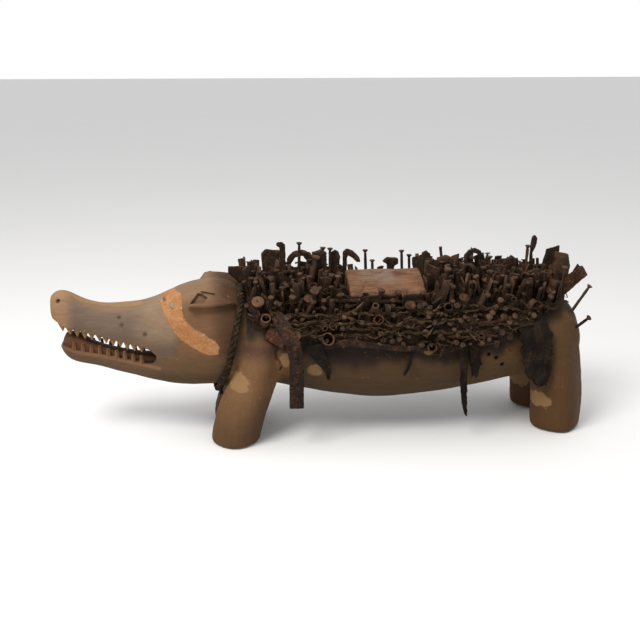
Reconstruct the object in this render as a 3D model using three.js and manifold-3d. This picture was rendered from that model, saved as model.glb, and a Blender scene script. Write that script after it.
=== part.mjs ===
// Carved wooden power figure: a long-jawed four-legged animal whose back and flanks are driven
// full of nails, blades, tubes and rods. Millimetres, +Z up, the head towards -X and the side
// with the iron strap towards -Y. Every place below is measured from the ground and from the
// middle of the trunk, and the finished group is moved so that its own middle is at X 0, Y 0.

import * as THREE from 'three';
import { mergeVertices } from 'three/addons/utils/BufferGeometryUtils.js';
import Module from 'manifold-3d';

const wasm = await Module();
wasm.setup();

// Driving dimensions
const clearance = 0.3;           // between any two pieces that touch
const legSpread = 57;            // middle of a leg from the centre plane
const footChamfer = 5;
const farForeShift = 7;          // the far fore leg stands this much further back
const collarRadius = 5.5;
const strapWidth = 25;
const strapThickness = 2.6;
const bedThickness = 13;         // crust of rust, resin and fibre that the iron stands in
const shankRadius = 2.7;         // of a tall nail
const shankHead = 5;
const boltRadius = 4;            // of a flank nail with a round head
const headThickness = 3;
const bladeWidths = [18, 36];
const spikeWidth = 8;
const bedIronThickness = 6;
const blockLength = 134;
const blockHalfWidth = 66;
const blockCentreX = 112;
const blockRidge = 292;
const blockEaves = 264;
const blockFoot = 205;           // sunk in the back
const blockEdge = 6;             // width of the worn edges
const throughDepth = 160;        // of a cut that goes right through the head

// The trunk and head from nose to rump: place along X, top, underside, half width, squareness
const trunkRows = [
  [-466, 261, 228, 16, 2.2],
  [-462, 267, 204, 23, 2.2],
  [-455, 271, 172, 28, 2.3],
  [-445, 272, 153, 29.5, 2.4],
  [-431, 267, 144, 29, 2.4],
  [-410, 256, 138, 26.5, 2.5],
  [-384, 249, 131, 27, 2.5],
  [-352, 247, 121, 30, 2.6],
  [-317, 249, 111, 35, 2.7],
  [-291, 255, 104, 41, 2.8],
  [-268, 264, 99, 48, 2.8],
  [-242, 275, 96, 58, 2.6],
  [-215, 282, 95, 67, 2.5],
  [-186, 284, 96, 72, 2.4],
  [-160, 276, 98, 73, 2.3],
  [-138, 263, 103, 73, 2.2],
  [-108, 252, 99, 79, 2.1],
  [-74, 249, 91, 87, 2.1],
  [-34, 250, 82, 93, 2.1],
  [20, 251, 70, 97, 2.1],
  [110, 251, 59, 100, 2.1],
  [225, 250, 67, 99, 2.1],
  [285, 249, 76, 98, 2.1],
  [345, 248, 88, 97, 2.2],
  [400, 244, 96, 95, 2.2],
  [436, 237, 102, 89, 2.3],
  [457, 223, 110, 76, 2.3],
  [467, 200, 124, 58, 2.2],
];
const trunkSides = 16;

// Mouth: the edge of the upper lip, the rounded corner and the edge of the lower lip, as X and height
const upperLip = [[-475, 238], [-456, 225], [-441, 213], [-418, 205], [-385, 195], [-352, 185], [-313, 174]];
const mouthCorner = [[-300, 169], [-292, 160], [-291, 150], [-298, 144]];
const lowerLip = [[-312, 143], [-354, 153], [-387, 160], [-429, 170], [-450, 180], [-458, 172], [-461, 150]];

// Legs as rings from the ground up: height, middle X, middle Y as a share of legSpread, radius
const foreLeg = [
  [0, -158, 1.0, 41 - footChamfer],
  [footChamfer, -158, 1.0, 41],
  [44, -149, 1.0, 43],
  [95, -132, 1.0, 42],
  [130, -120, 1.0, 40],
  [165, -109, 1.0, 37],
  [192, -108, 1.02, 31],
  [210, -112, 1.05, 18],
];
const hindLeg = [
  [0, 432, 1.0, 44 - footChamfer],
  [footChamfer, 432, 1.0, 44],
  [67, 430, 1.0, 46],
  [141, 422, 1.0, 45],
  [190, 412, 0.93, 42],
  [216, 404, 0.85, 30],
];
const legSides = 12;

// Teeth: first and last place along the lip, count, width at the gum, length
const upperTeeth = { from: -445, to: -318, count: 12, width: 13, length: 10, thickness: 7 };
const lowerTeeth = { from: -428, to: -318, count: 9, width: 12, length: 13, thickness: 7 };
const tongue = { from: -449, to: -292, halfWidth: 18, topFront: 195, topBack: 166 };

// Ear: a leaf lying back along the skull, drawn as length and height on its own flat face
const earLeaf = [[0, -17], [6, -4], [19, 15], [29, 15], [57, 7], [82, -4], [64, -10], [34, -17]];
const earHollow = [[5, -9], [15, 6], [28, 0], [24, -8]];
const nostril = { x: -466, y: 10, z: 250, radius: 3.4, depth: 12, spread: 0.35, rise: 0.15 };
const earPlace = { x: -231, y: 54, z: 264, tiltUp: 0.5, turn: 0.1, farShift: 10, thickness: 24, sunk: 10 };
const eyePlace = { x: -258, z: 250, radius: 5.5, depth: 6 };

const palette = {
  wood: { color: '#5b432d', roughness: 0.7, metalness: 0 },
  block: { color: '#7a5746', roughness: 0.65, metalness: 0 },
  eye: { color: '#8f9a80', roughness: 0.25, metalness: 0 },
  iron: { color: '#3a2a20', roughness: 0.85, metalness: 0.4 },
  rust: { color: '#6a4430', roughness: 0.9, metalness: 0.2 },
  hide: { color: '#1d1814', roughness: 0.9, metalness: 0 },
  rope: { color: '#2b221a', roughness: 0.95, metalness: 0 },
};

// Small tools for numbers and points
const vec = (x, y, z) => new THREE.Vector3(x, y, z);
const lerp = THREE.MathUtils.lerp;

function chance(index, salt) {
  const wave = Math.sin(index * 12.9898 + salt * 78.233) * 43758.5453;
  return wave - Math.floor(wave);
}

// Value of a column at x, on a smooth curve through the rows
function along(rows, x, column) {
  const last = rows.length - 1;
  if (x <= rows[0][0]) return rows[0][column];
  if (x >= rows[last][0]) return rows[last][column];
  const i = rows.findIndex((row) => row[0] > x) - 1;
  const slope = (j) => {
    const a = rows[Math.max(j - 1, 0)];
    const b = rows[Math.min(j + 1, last)];
    return (b[column] - a[column]) / (b[0] - a[0]);
  };
  const span = rows[i + 1][0] - rows[i][0];
  const t = (x - rows[i][0]) / span;
  const rise = rows[i + 1][column] - rows[i][column];
  const bend = t * (1 - t) * ((1 - t) * (slope(i) * span - rise) - t * (slope(i + 1) * span - rise));
  return rows[i][column] + t * rise + bend;
}

// Straight-line height of a lip at x
function lipHeight(lip, x) {
  const points = [...lip].sort((a, b) => a[0] - b[0]);
  const i = Math.max(points.findIndex((point) => point[0] > x), 1);
  const [a, b] = [points[i - 1], points[i]];
  return lerp(a[1], b[1], (x - a[0]) / (b[0] - a[0]));
}

// Closed meshes as solids
function solidOf(positions, indices) {
  const mesh = new wasm.Mesh({
    numProp: 3,
    vertProperties: new Float32Array(positions),
    triVerts: new Uint32Array(indices),
  });
  return new wasm.Manifold(mesh);
}

function fromGeometry(geometry, matrix) {
  const bare = geometry.clone();
  bare.deleteAttribute('normal');
  bare.deleteAttribute('uv');
  if (matrix) bare.applyMatrix4(matrix);
  const merged = mergeVertices(bare, 1e-3);
  return solidOf(merged.attributes.position.array, merged.index.array);
}

// Skin over rings of points that all turn the same way, closed by a fan at each end
function loft(rings, closed = false) {
  const count = rings[0].length;
  const points = rings.flat();
  const faces = [];
  const bands = closed ? rings.length : rings.length - 1;
  for (let i = 0; i < bands; i += 1) {
    const next = (i + 1) % rings.length;
    for (let k = 0; k < count; k += 1) {
      const a = i * count + k;
      const b = i * count + (k + 1) % count;
      const c = next * count + (k + 1) % count;
      const d = next * count + k;
      faces.push(a, b, c, a, c, d);
    }
  }
  if (!closed) {
    for (const [ring, flip] of [[0, true], [rings.length - 1, false]]) {
      const middle = points.length;
      const centre = vec(0, 0, 0);
      rings[ring].forEach((point) => centre.addScaledVector(point, 1 / count));
      points.push(centre);
      for (let k = 0; k < count; k += 1) {
        const a = ring * count + k;
        const b = ring * count + (k + 1) % count;
        faces.push(middle, flip ? b : a, flip ? a : b);
      }
    }
  }
  const positions = points.flatMap((point) => [point.x, point.y, point.z]);
  const solid = solidOf(positions, faces);
  if (solid.volume() > 0) return solid;
  const turned = [];
  for (let i = 0; i < faces.length; i += 3) turned.push(faces[i], faces[i + 2], faces[i + 1]);
  return solidOf(positions, turned);
}

// Outline with every side moved outward by `grow`
function widen(outline, grow) {
  const corners = outline.map(([x, z]) => new THREE.Vector2(x, z));
  const turn = Math.sign(THREE.ShapeUtils.area(corners));
  return corners.map((corner, i) => {
    const before = corner.clone().sub(corners.at(i - 1)).normalize();
    const after = corners[(i + 1) % corners.length].clone().sub(corner).normalize();
    const outBefore = new THREE.Vector2(before.y, -before.x).multiplyScalar(turn);
    const outAfter = new THREE.Vector2(after.y, -after.x).multiplyScalar(turn);
    const share = grow / Math.max(1 + outBefore.dot(outAfter), 0.4);
    return corner.clone().addScaledVector(outBefore.add(outAfter), share);
  });
}

// Flat outline in X and Z, given a thickness along Y around the plane y
function plate(outline, y, thickness, grow = 0) {
  const shape = new THREE.Shape(widen(outline, grow));
  const depth = thickness + 2 * grow;
  const geometry = new THREE.ExtrudeGeometry(shape, { depth, bevelEnabled: false, curveSegments: 4 });
  const stand = new THREE.Matrix4().makeRotationX(Math.PI / 2);
  stand.setPosition(0, y + depth / 2, 0);
  return fromGeometry(geometry, stand);
}

function fuse(solids) {
  return wasm.Manifold.union(solids);
}

// Places on the trunk: angle 0 is the top of the back, a positive angle goes to the -Y side
function trunkPoint(x, angle, grow = 0) {
  const top = along(trunkRows, x, 1) + grow;
  const base = along(trunkRows, x, 2) - grow;
  const half = along(trunkRows, x, 3) + grow;
  const power = 2 / along(trunkRows, x, 4);
  const s = Math.sin(angle);
  const c = Math.cos(angle);
  const y = -half * Math.sign(s) * Math.abs(s) ** power;
  const z = (top + base) / 2 + (top - base) / 2 * Math.sign(c) * Math.abs(c) ** power;
  return vec(x, y, z);
}

function trunkNormal(x, angle) {
  const step = 0.02;
  const across = trunkPoint(x, angle + step).sub(trunkPoint(x, angle - step));
  return vec(0, across.z, -across.y).normalize();
}

// Angle at which a nail that stands `out` proud of the trunk ends at height z
function angleFor(x, z, out) {
  let low = 0;
  let high = Math.PI;
  for (let i = 0; i < 30; i += 1) {
    const middle = (low + high) / 2;
    const end = trunkPoint(x, middle).addScaledVector(trunkNormal(x, middle), out);
    if (end.z > z) low = middle;
    else high = middle;
  }
  return low;
}

// The wood
function trunk(grow) {
  const rings = trunkRows.map(([x], i) => {
    const shift = i === 0 ? -grow : i === trunkRows.length - 1 ? grow : 0;
    const ring = [];
    for (let k = 0; k < trunkSides; k += 1) {
      const point = trunkPoint(x, 2 * Math.PI * (k + 0.5) / trunkSides, grow);
      ring.push(point.setX(x + shift));
    }
    return ring;
  });
  return loft(rings);
}

function leg(rows, side, grow, shift = 0) {
  const rings = rows.map(([z, middle, share, radius]) => {
    const x = middle + shift;
    const ring = [];
    const r = radius + grow;
    for (let k = 0; k < legSides; k += 1) {
      const a = 2 * Math.PI * (k + 0.5) / legSides;
      ring.push(vec(x + r * Math.cos(a), side * share * legSpread + r * Math.sin(a), z));
    }
    return ring;
  });
  return loft(rings);
}

function tooth(x, z, y, size, direction) {
  const sunk = 2;
  const cone = new THREE.ConeGeometry(1, size.length + sunk, 4);
  const stand = new THREE.Matrix4().makeScale(size.width / 2, size.thickness / 2, 1);
  stand.multiply(new THREE.Matrix4().makeRotationX(direction * Math.PI / 2));
  stand.setPosition(x, y, z + direction * (size.length - sunk) / 2);
  return fromGeometry(cone, stand);
}

function teeth(size, lip, direction) {
  const row = [];
  for (let i = 0; i < size.count; i += 1) {
    const x = lerp(size.from, size.to, i / (size.count - 1));
    const z = lipHeight(lip, x);
    for (const side of [-1, 1]) {
      row.push(tooth(x, z, side * (lipHalfWidth(x, z) - size.thickness / 2 - 1), size, direction));
    }
  }
  return row;
}

// Half width of the jaw at a height, from the section there
function lipHalfWidth(x, z) {
  const top = along(trunkRows, x, 1);
  const base = along(trunkRows, x, 2);
  const power = along(trunkRows, x, 4);
  const share = Math.min(Math.abs(z - (top + base) / 2) / ((top - base) / 2), 1);
  return along(trunkRows, x, 3) * (1 - share ** power) ** (1 / power);
}

function tongueSolid() {
  const steps = [0, 0.012, 0.05, 0.3, 0.65, 1];
  const fullness = [0.55, 0.82, 1, 1, 1, 1.1];
  const rings = steps.map((t, i) => {
    const x = lerp(tongue.from, tongue.to, t);
    const top = lerp(tongue.topFront, tongue.topBack, t) - (1 - Math.min(fullness[i], 1)) * 12;
    const base = Math.min(lerp(tongue.topFront, tongue.topBack, t) - 22, lipHeight(lowerLip, x) - 4);
    const half = tongue.halfWidth * fullness[i];
    return [[-1, 0], [-1, 0.72], [-0.6, 1], [0.6, 1], [1, 0.72], [1, 0]].map(
      ([side, share]) => vec(x, side * half, lerp(base, top, share)),
    );
  });
  return loft(rings);
}

// A flat drawing laid on the side of the skull, raised by `lift` and `thickness` thick
function onSkull(outline, side, lift, thickness, grow = 0) {
  const shape = new THREE.Shape(widen(outline, grow));
  const geometry = new THREE.ExtrudeGeometry(shape, { depth: thickness + grow, bevelEnabled: false });
  const outward = vec(0, -Math.cos(earPlace.tiltUp), Math.sin(earPlace.tiltUp));
  const length = vec(1, 0, 0).applyAxisAngle(outward, side < 0 ? -earPlace.turn : earPlace.turn);
  const rise = outward.clone().cross(length);
  const frame = new THREE.Matrix4().makeBasis(length, rise, outward);
  const x = earPlace.x + (side < 0 ? 0 : earPlace.farShift);
  frame.setPosition(vec(x, -earPlace.y, earPlace.z).addScaledVector(outward, lift));
  const solid = fromGeometry(geometry, frame);
  return side < 0 ? solid : solid.mirror([0, 1, 0]);
}

function eye(side, grow) {
  const angle = angleFor(eyePlace.x, eyePlace.z, 0);
  const normal = trunkNormal(eyePlace.x, angle);
  const centre = trunkPoint(eyePlace.x, angle);
  const r = eyePlace.radius + grow;
  const profile = [[0, -eyePlace.depth - grow], [r, -eyePlace.depth - grow], [r, 0.6], [r * 0.6, 2.4], [0, 3]];
  const solid = lathe(profile, 8, centre, normal);
  return side < 0 ? solid : solid.mirror([0, 1, 0]);
}

// A turned shape whose axis runs from `centre` along `axis`
function lathe(profile, sides, centre, axis) {
  const outline = profile.map(([r, h]) => new THREE.Vector2(r, h));
  const geometry = new THREE.LatheGeometry(outline, sides);
  const turn = new THREE.Quaternion().setFromUnitVectors(vec(0, 1, 0), axis);
  const matrix = new THREE.Matrix4().compose(centre, turn, vec(1, 1, 1));
  return fromGeometry(geometry, matrix);
}

function carving(grow) {
  const legs = [];
  for (const side of [-1, 1]) {
    legs.push(leg(foreLeg, side, grow, side > 0 ? farForeShift : 0));
    legs.push(leg(hindLeg, side, grow));
  }
  const ears = [-1, 1].map((side) => onSkull(earLeaf, side, -earPlace.sunk, earPlace.thickness, grow));
  return fuse([trunk(grow), ...legs, ...ears]);
}

function carvedPig() {
  let wood = carving(0);
  const mouth = [[-480, 236], ...upperLip, ...mouthCorner, ...lowerLip, [-480, 152]];
  wood = wood.subtract(plate(mouth, 0, throughDepth));
  const added = [...teeth(upperTeeth, upperLip, -1), ...teeth(lowerTeeth, lowerLip.slice(0, 5), 1)];
  added.push(tongueSolid());
  wood = fuse([wood, ...added]);
  for (const side of [-1, 1]) {
    wood = wood.subtract(onSkull(earHollow, side, 4, earPlace.thickness));
    const { x, y, z, radius, depth, spread, rise } = nostril;
    const hole = [[0, -depth], [radius, -depth], [radius * 1.35, depth / 2], [0, depth / 2]];
    wood = wood.subtract(lathe(hole, 6, vec(x, side * y, z), vec(-1, side * spread, rise).normalize()));
  }
  return wood;
}

// The block in the back
function backBlock(grow) {
  const left = blockCentreX - blockLength / 2 - grow;
  const side = blockHalfWidth + grow;
  const slope = blockHalfWidth - blockEdge;
  const section = [
    [-side, blockFoot], [-side, blockEaves + grow], [-slope, blockEaves + blockEdge + grow],
    [-blockEdge, blockRidge + grow], [blockEdge, blockRidge + grow],
    [slope, blockEaves + blockEdge + grow], [side, blockEaves + grow], [side, blockFoot],
  ];
  const ring = (x) => section.map(([y, z]) => vec(x, y, z));
  return loft([ring(left), ring(left + blockLength + 2 * grow)]);
}

// The collar, three strands twisted together, slanting down behind the jaw
function neckRope(grow) {
  const steps = 26;
  const rings = [];
  const path = (t) => {
    const drop = ((1 - Math.cos(t)) / 2) ** 1.4;
    const x = -141 - 47 * drop;
    return trunkPoint(x, t, collarRadius + clearance + 1.6);
  };
  for (let i = 0; i < steps; i += 1) {
    const t = 2 * Math.PI * i / steps;
    const centre = path(t);
    const tangent = path(t + 0.05).sub(path(t - 0.05)).normalize();
    const side = vec(1, 0, 0).addScaledVector(tangent, -tangent.x).normalize();
    const out = tangent.clone().cross(side);
    const ring = [];
    for (let k = 0; k < 6; k += 1) {
      const a = 2 * Math.PI * k / 6 + t * 4;
      const r = (k % 2 ? collarRadius + 1 : collarRadius - 0.8) + grow;
      ring.push(centre.clone().addScaledVector(side, r * Math.cos(a)).addScaledVector(out, r * Math.sin(a)));
    }
    rings.push(ring);
  }
  return loft(rings, true);
}

// A flat strip through stations: place, half-width vector, thickness
function ribbon(stations, grow = 0) {
  const rings = stations.map(({ at, half, thick }, i) => {
    const before = stations[Math.max(i - 1, 0)].at;
    const after = stations[Math.min(i + 1, stations.length - 1)].at;
    const run = vec(...after).sub(vec(...before)).normalize();
    const width = vec(...half);
    width.addScaledVector(width.clone().normalize(), grow);
    const normal = run.clone().cross(width).normalize().multiplyScalar(thick / 2 + grow);
    const centre = vec(...at);
    if (i === 0) centre.addScaledVector(run, -grow);
    if (i === stations.length - 1) centre.addScaledVector(run, grow);
    return [
      centre.clone().sub(width).sub(normal), centre.clone().add(width).sub(normal),
      centre.clone().add(width).add(normal), centre.clone().sub(width).add(normal),
    ];
  });
  return loft(rings);
}

// Iron that is driven in: each goes from a root in the wood to a tip in the open
function nail(root, tip, radius, headRadius, sides, grow) {
  const r = radius + grow;
  const head = headRadius + grow;
  const thick = headThickness + 2 * grow;
  const length = root.distanceTo(tip) + grow;
  const axis = tip.clone().sub(root).normalize();
  const profile = [[0, -grow], [r, -grow], [r, length - thick], [head, length - thick], [head, length], [0, length]];
  return lathe(profile, sides, root, axis);
}

function tube(root, tip, radius, grow) {
  const outer = radius + grow;
  const inner = radius * 0.68 - grow;
  const length = root.distanceTo(tip) + grow;
  const bore = length * 0.55;
  const profile = [
    [0, -grow], [outer, -grow], [outer, length], [inner, length], [inner, length - bore], [0, length - bore],
  ];
  return lathe(profile, 8, root, tip.clone().sub(root).normalize());
}

// A tapering blade whose broad side runs along `across`
function blade(root, tip, width, thickness, across, grow) {
  const axis = tip.clone().sub(root).normalize();
  const wide = across.clone().addScaledVector(axis, -across.dot(axis)).normalize();
  const stations = [
    { at: root.toArray(), half: wide.clone().multiplyScalar(width * 0.42).toArray(), thick: thickness },
    { at: tip.toArray(), half: wide.clone().multiplyScalar(width * 0.5).toArray(), thick: thickness * 0.8 },
  ];
  return ribbon(stations, grow);
}

// Root and tip of an iron at a place on the trunk; `lean` and `slip` tilt it along X and round the trunk
function drivenIn(x, angle, out, lean = 0, slip = 0, sunk = -6) {
  const point = trunkPoint(x, angle);
  const normal = trunkNormal(x, angle);
  const round = trunkPoint(x, angle + 0.05).sub(trunkPoint(x, angle - 0.05)).normalize();
  const axis = normal.addScaledVector(vec(1, 0, 0), lean).addScaledVector(round, slip).normalize();
  return { root: point.clone().addScaledVector(axis, sunk), tip: point.clone().addScaledVector(axis, out) };
}

// Where the bed of iron ends on the flanks, as X and height
const bedEdge = [
  [-136, 262], [-134, 216], [-100, 208], [-72, 190], [-20, 182], [66, 176], [150, 172], [205, 158],
  [250, 166], [305, 176], [345, 200], [384, 216], [427, 236], [462, 226],
];

// One part of the crust: between two places along X, above the edge
function crust(fromX, toX, half, grow) {
  const inner = trunkRows.map((row) => row[0]).filter((x) => x > fromX + 8 && x < toX - 8);
  const rows = [fromX, ...inner, toX];
  const rings = rows.map((x, i) => {
    const end = i === 0 ? -grow : i === rows.length - 1 ? grow : 0;
    const ring = [];
    for (let k = 0; k < trunkSides; k += 1) {
      const lump = 5 * chance(k + 3, x);
      const point = trunkPoint(x, 2 * Math.PI * (k + 0.5) / trunkSides, bedThickness + lump + grow);
      ring.push(point.setX(x + end));
    }
    return ring;
  });
  const past = 60;
  const sky = 400;
  const edge = bedEdge.filter(([x]) => x > fromX - past && x < toX + past).map(([x, z]) => [x, z - grow]);
  const [firstX, firstZ] = edge[0];
  const [lastX, lastZ] = edge.at(-1);
  const left = firstX - past;
  const right = lastX + past;
  const above = [[left, firstZ], ...edge, [right, lastZ], [right, sky], [left, sky]];
  const reach = half === 0 ? sky : sky / 2;
  return loft(rings).intersect(plate(above, half * reach / 2, reach));
}

// Irons that fill a bed: a grid of places along X and round the trunk, each shifted a little
function bedIrons(fromX, toX, spread, grow) {
  const irons = [];
  const columns = Math.round((toX - fromX) / spread.alongX);
  for (let i = 0; i < columns; i += 1) {
    for (const [j, degrees] of spread.angles.entries()) {
      if (Math.abs(degrees) > 40 && (i + j) % 2) continue;
      const seed = Math.round(fromX) + i * 17 + j * 5;
      const x = fromX + (i + 0.25 + 0.5 * chance(seed, 1)) * spread.alongX;
      const angle = THREE.MathUtils.degToRad(degrees + 9 * (chance(seed, 2) - 0.5));
      const edgeZ = lipHeight(bedEdge, x) + 6;
      if (trunkPoint(x, angle).z < edgeZ) continue;
      const upright = Math.cos(angle);
      const out = lerp(spread.flankOut, spread.topOut, upright ** 2) * (0.84 + 0.32 * chance(seed, 3));
      const lean = 0.3 * (chance(seed, 4) - 0.5);
      const { root, tip } = drivenIn(x, angle, out, lean, 0.25 * (chance(seed, 5) - 0.5), bedThickness / 2);
      const across = chance(seed, 6) > 0.4 ? vec(1, 0, 0) : vec(0.3, 1, 0);
      const kind = chance(seed, 8);
      const width = kind < spread.blades ? lerp(...bladeWidths, chance(seed, 7)) : spikeWidth;
      irons.push(blade(root, tip, width, bedIronThickness, across, grow));
    }
  }
  return irons;
}

// Pieces are set one after another: each later one is cut clear of all that came before it
const group = new THREE.Group();
const taken = [];

function toMesh(name, solid, finish) {
  const { vertProperties, triVerts } = solid.getMesh();
  const geometry = new THREE.BufferGeometry();
  geometry.setAttribute('position', new THREE.BufferAttribute(vertProperties, 3));
  geometry.setIndex(new THREE.BufferAttribute(triVerts, 1));
  geometry.computeVertexNormals();
  const mesh = new THREE.Mesh(geometry, new THREE.MeshStandardMaterial(palette[finish]));
  mesh.name = name;
  group.add(mesh);
}

function largest(solid) {
  const bodies = solid.decompose();
  bodies.sort((a, b) => b.volume() - a.volume());
  return bodies[0];
}

function place(name, finish, build, cutter = build) {
  let solid = build(0);
  if (taken.length) solid = solid.subtract(fuse(taken));
  toMesh(name, largest(solid), finish);
  taken.push(cutter(clearance));
}

// Plates and blades over the shoulders and rump: outline in X and height, plane Y, thickness
const plates = [
  { name: 'wedge_blade', y: 0, thick: 5,
    outline: [[-162, 306], [-162, 294], [-138, 271], [-129, 262], [-129, 246], [-116, 246], [-122, 306]] },
  { name: 'shoulder_plate', y: 10, thick: 7,
    outline: [[-103, 325], [-99, 246], [-74, 246], [-71, 330], [-96, 332]] },
  { name: 'curled_slab', y: -8, thick: 7,
    outline: [[-74, 246], [-60, 246], [-62, 344], [-68, 348], [-77, 348], [-77, 342], [-72, 339]] },
  { name: 'arched_plate', y: 24, thick: 6,
    outline: [[-56, 301], [-55, 315], [-46, 324], [-30, 327], [-14, 321], [-8, 303], [-8, 246], [-18, 246],
      [-19, 303], [-28, 315], [-42, 313], [-50, 300]] },
  { name: 'rust_block', y: 0, thick: 14,
    outline: [[-15, 246], [10, 246], [11, 327], [2, 331], [-14, 326]] },
  { name: 'round_blade', y: -4, thick: 5,
    outline: [[18, 246], [32, 246], [35, 319], [32, 328], [26, 332], [20, 328], [17, 317]] },
  { name: 'bent_blade', y: 4, thick: 7,
    outline: [[41, 273], [41, 325], [48, 331], [59, 327], [70, 316], [73, 306], [66, 306], [57, 315],
      [49, 320], [48, 273], [46, 246], [40, 246]] },
  { name: 'square_iron', y: 82, thick: 10,
    outline: [[136, 224], [150, 224], [150, 279], [158, 282], [158, 293], [136, 295], [128, 287], [137, 283]] },
  { name: 'rear_slab_tall', y: 4, thick: 8,
    outline: [[184, 246], [200, 246], [200, 317], [192, 324], [184, 319]] },
  { name: 'rear_slab_broad', y: -6, thick: 12,
    outline: [[208, 244], [236, 244], [237, 312], [228, 316], [210, 312]] },
  { name: 'bent_arch', y: 8, thick: 7,
    outline: [[262, 242], [269, 242], [271, 309], [279, 316], [288, 315], [291, 305], [298, 306], [294, 320],
      [283, 325], [272, 322], [264, 312]] },
  { name: 'rump_lump', y: 0, thick: 16,
    outline: [[336, 240], [358, 240], [358, 305], [350, 311], [338, 300]] },
  { name: 'spoon_spike', y: 0, thick: 6,
    outline: [[380, 240], [387, 240], [388, 315], [394, 328], [396, 341], [391, 348], [386, 346], [384, 333],
      [384, 321]] },
  { name: 'dark_blade', y: 6, thick: 6,
    outline: [[408, 238], [436, 238], [441, 326], [416, 320]] },
  { name: 'grey_plate', y: -22, thick: 5,
    outline: [[420, 232], [446, 230], [452, 295], [447, 316], [422, 322]] },
];

// Nails that stand clear of the mass: root and tip as X, Y, height
const tallNails = [
  { name: 'tall_nail_1', root: [-38, -4, 246], tip: [-37, -4, 346] },
  { name: 'tall_nail_2', root: [6, 16, 246], tip: [7, 16, 332] },
  { name: 'tall_nail_3', root: [14, -12, 246], tip: [16, -14, 337] },
  { name: 'tall_nail_4', root: [98, 78, 208], tip: [94, 76, 312] },
  { name: 'tall_nail_5', root: [110, 80, 206], tip: [108, 78, 292] },
  { name: 'tall_nail_6', root: [170, 80, 206], tip: [163, 77, 309] },
  { name: 'tall_nail_7', root: [178, 76, 210], tip: [177, 74, 301] },
  { name: 'tall_nail_8', root: [310, 2, 242], tip: [309, 0, 311] },
  { name: 'tall_nail_9', root: [372, -8, 242], tip: [376, -8, 331] },
  { name: 'rump_nail_1', root: [436, -52, 196], tip: [472, -70, 269] },
  { name: 'rump_nail_2', root: [440, -60, 176], tip: [466, -92, 217] },
];

// Irons that point outward from the flank: X, height of the outer end, how far it stands out, head
const flankNails = [
  { name: 'round_head_1', x: -115, z: 263, out: 38, head: 11 },
  { name: 'round_head_2', x: -28, z: 266, out: 38, head: 9.5 },
  { name: 'round_head_3', x: 143, z: 253, out: 38, head: 9.5 },
  { name: 'round_head_4', x: 240, z: 261, out: 38, head: 9 },
  { name: 'round_head_5', x: 291, z: 281, out: 38, head: 8.5 },
  { name: 'round_head_6', x: 399, z: 264, out: 36, head: 9 },
];
const flankTubes = [
  { name: 'tube_1', x: -103, z: 237, out: 32, radius: 8 },
  { name: 'tube_2', x: -1, z: 205, out: 32, radius: 11 },
  { name: 'tube_3', x: 87, z: 232, out: 32, radius: 9 },
  { name: 'tube_4', x: 178, z: 182, out: 24, radius: 7.5 },
];

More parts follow.
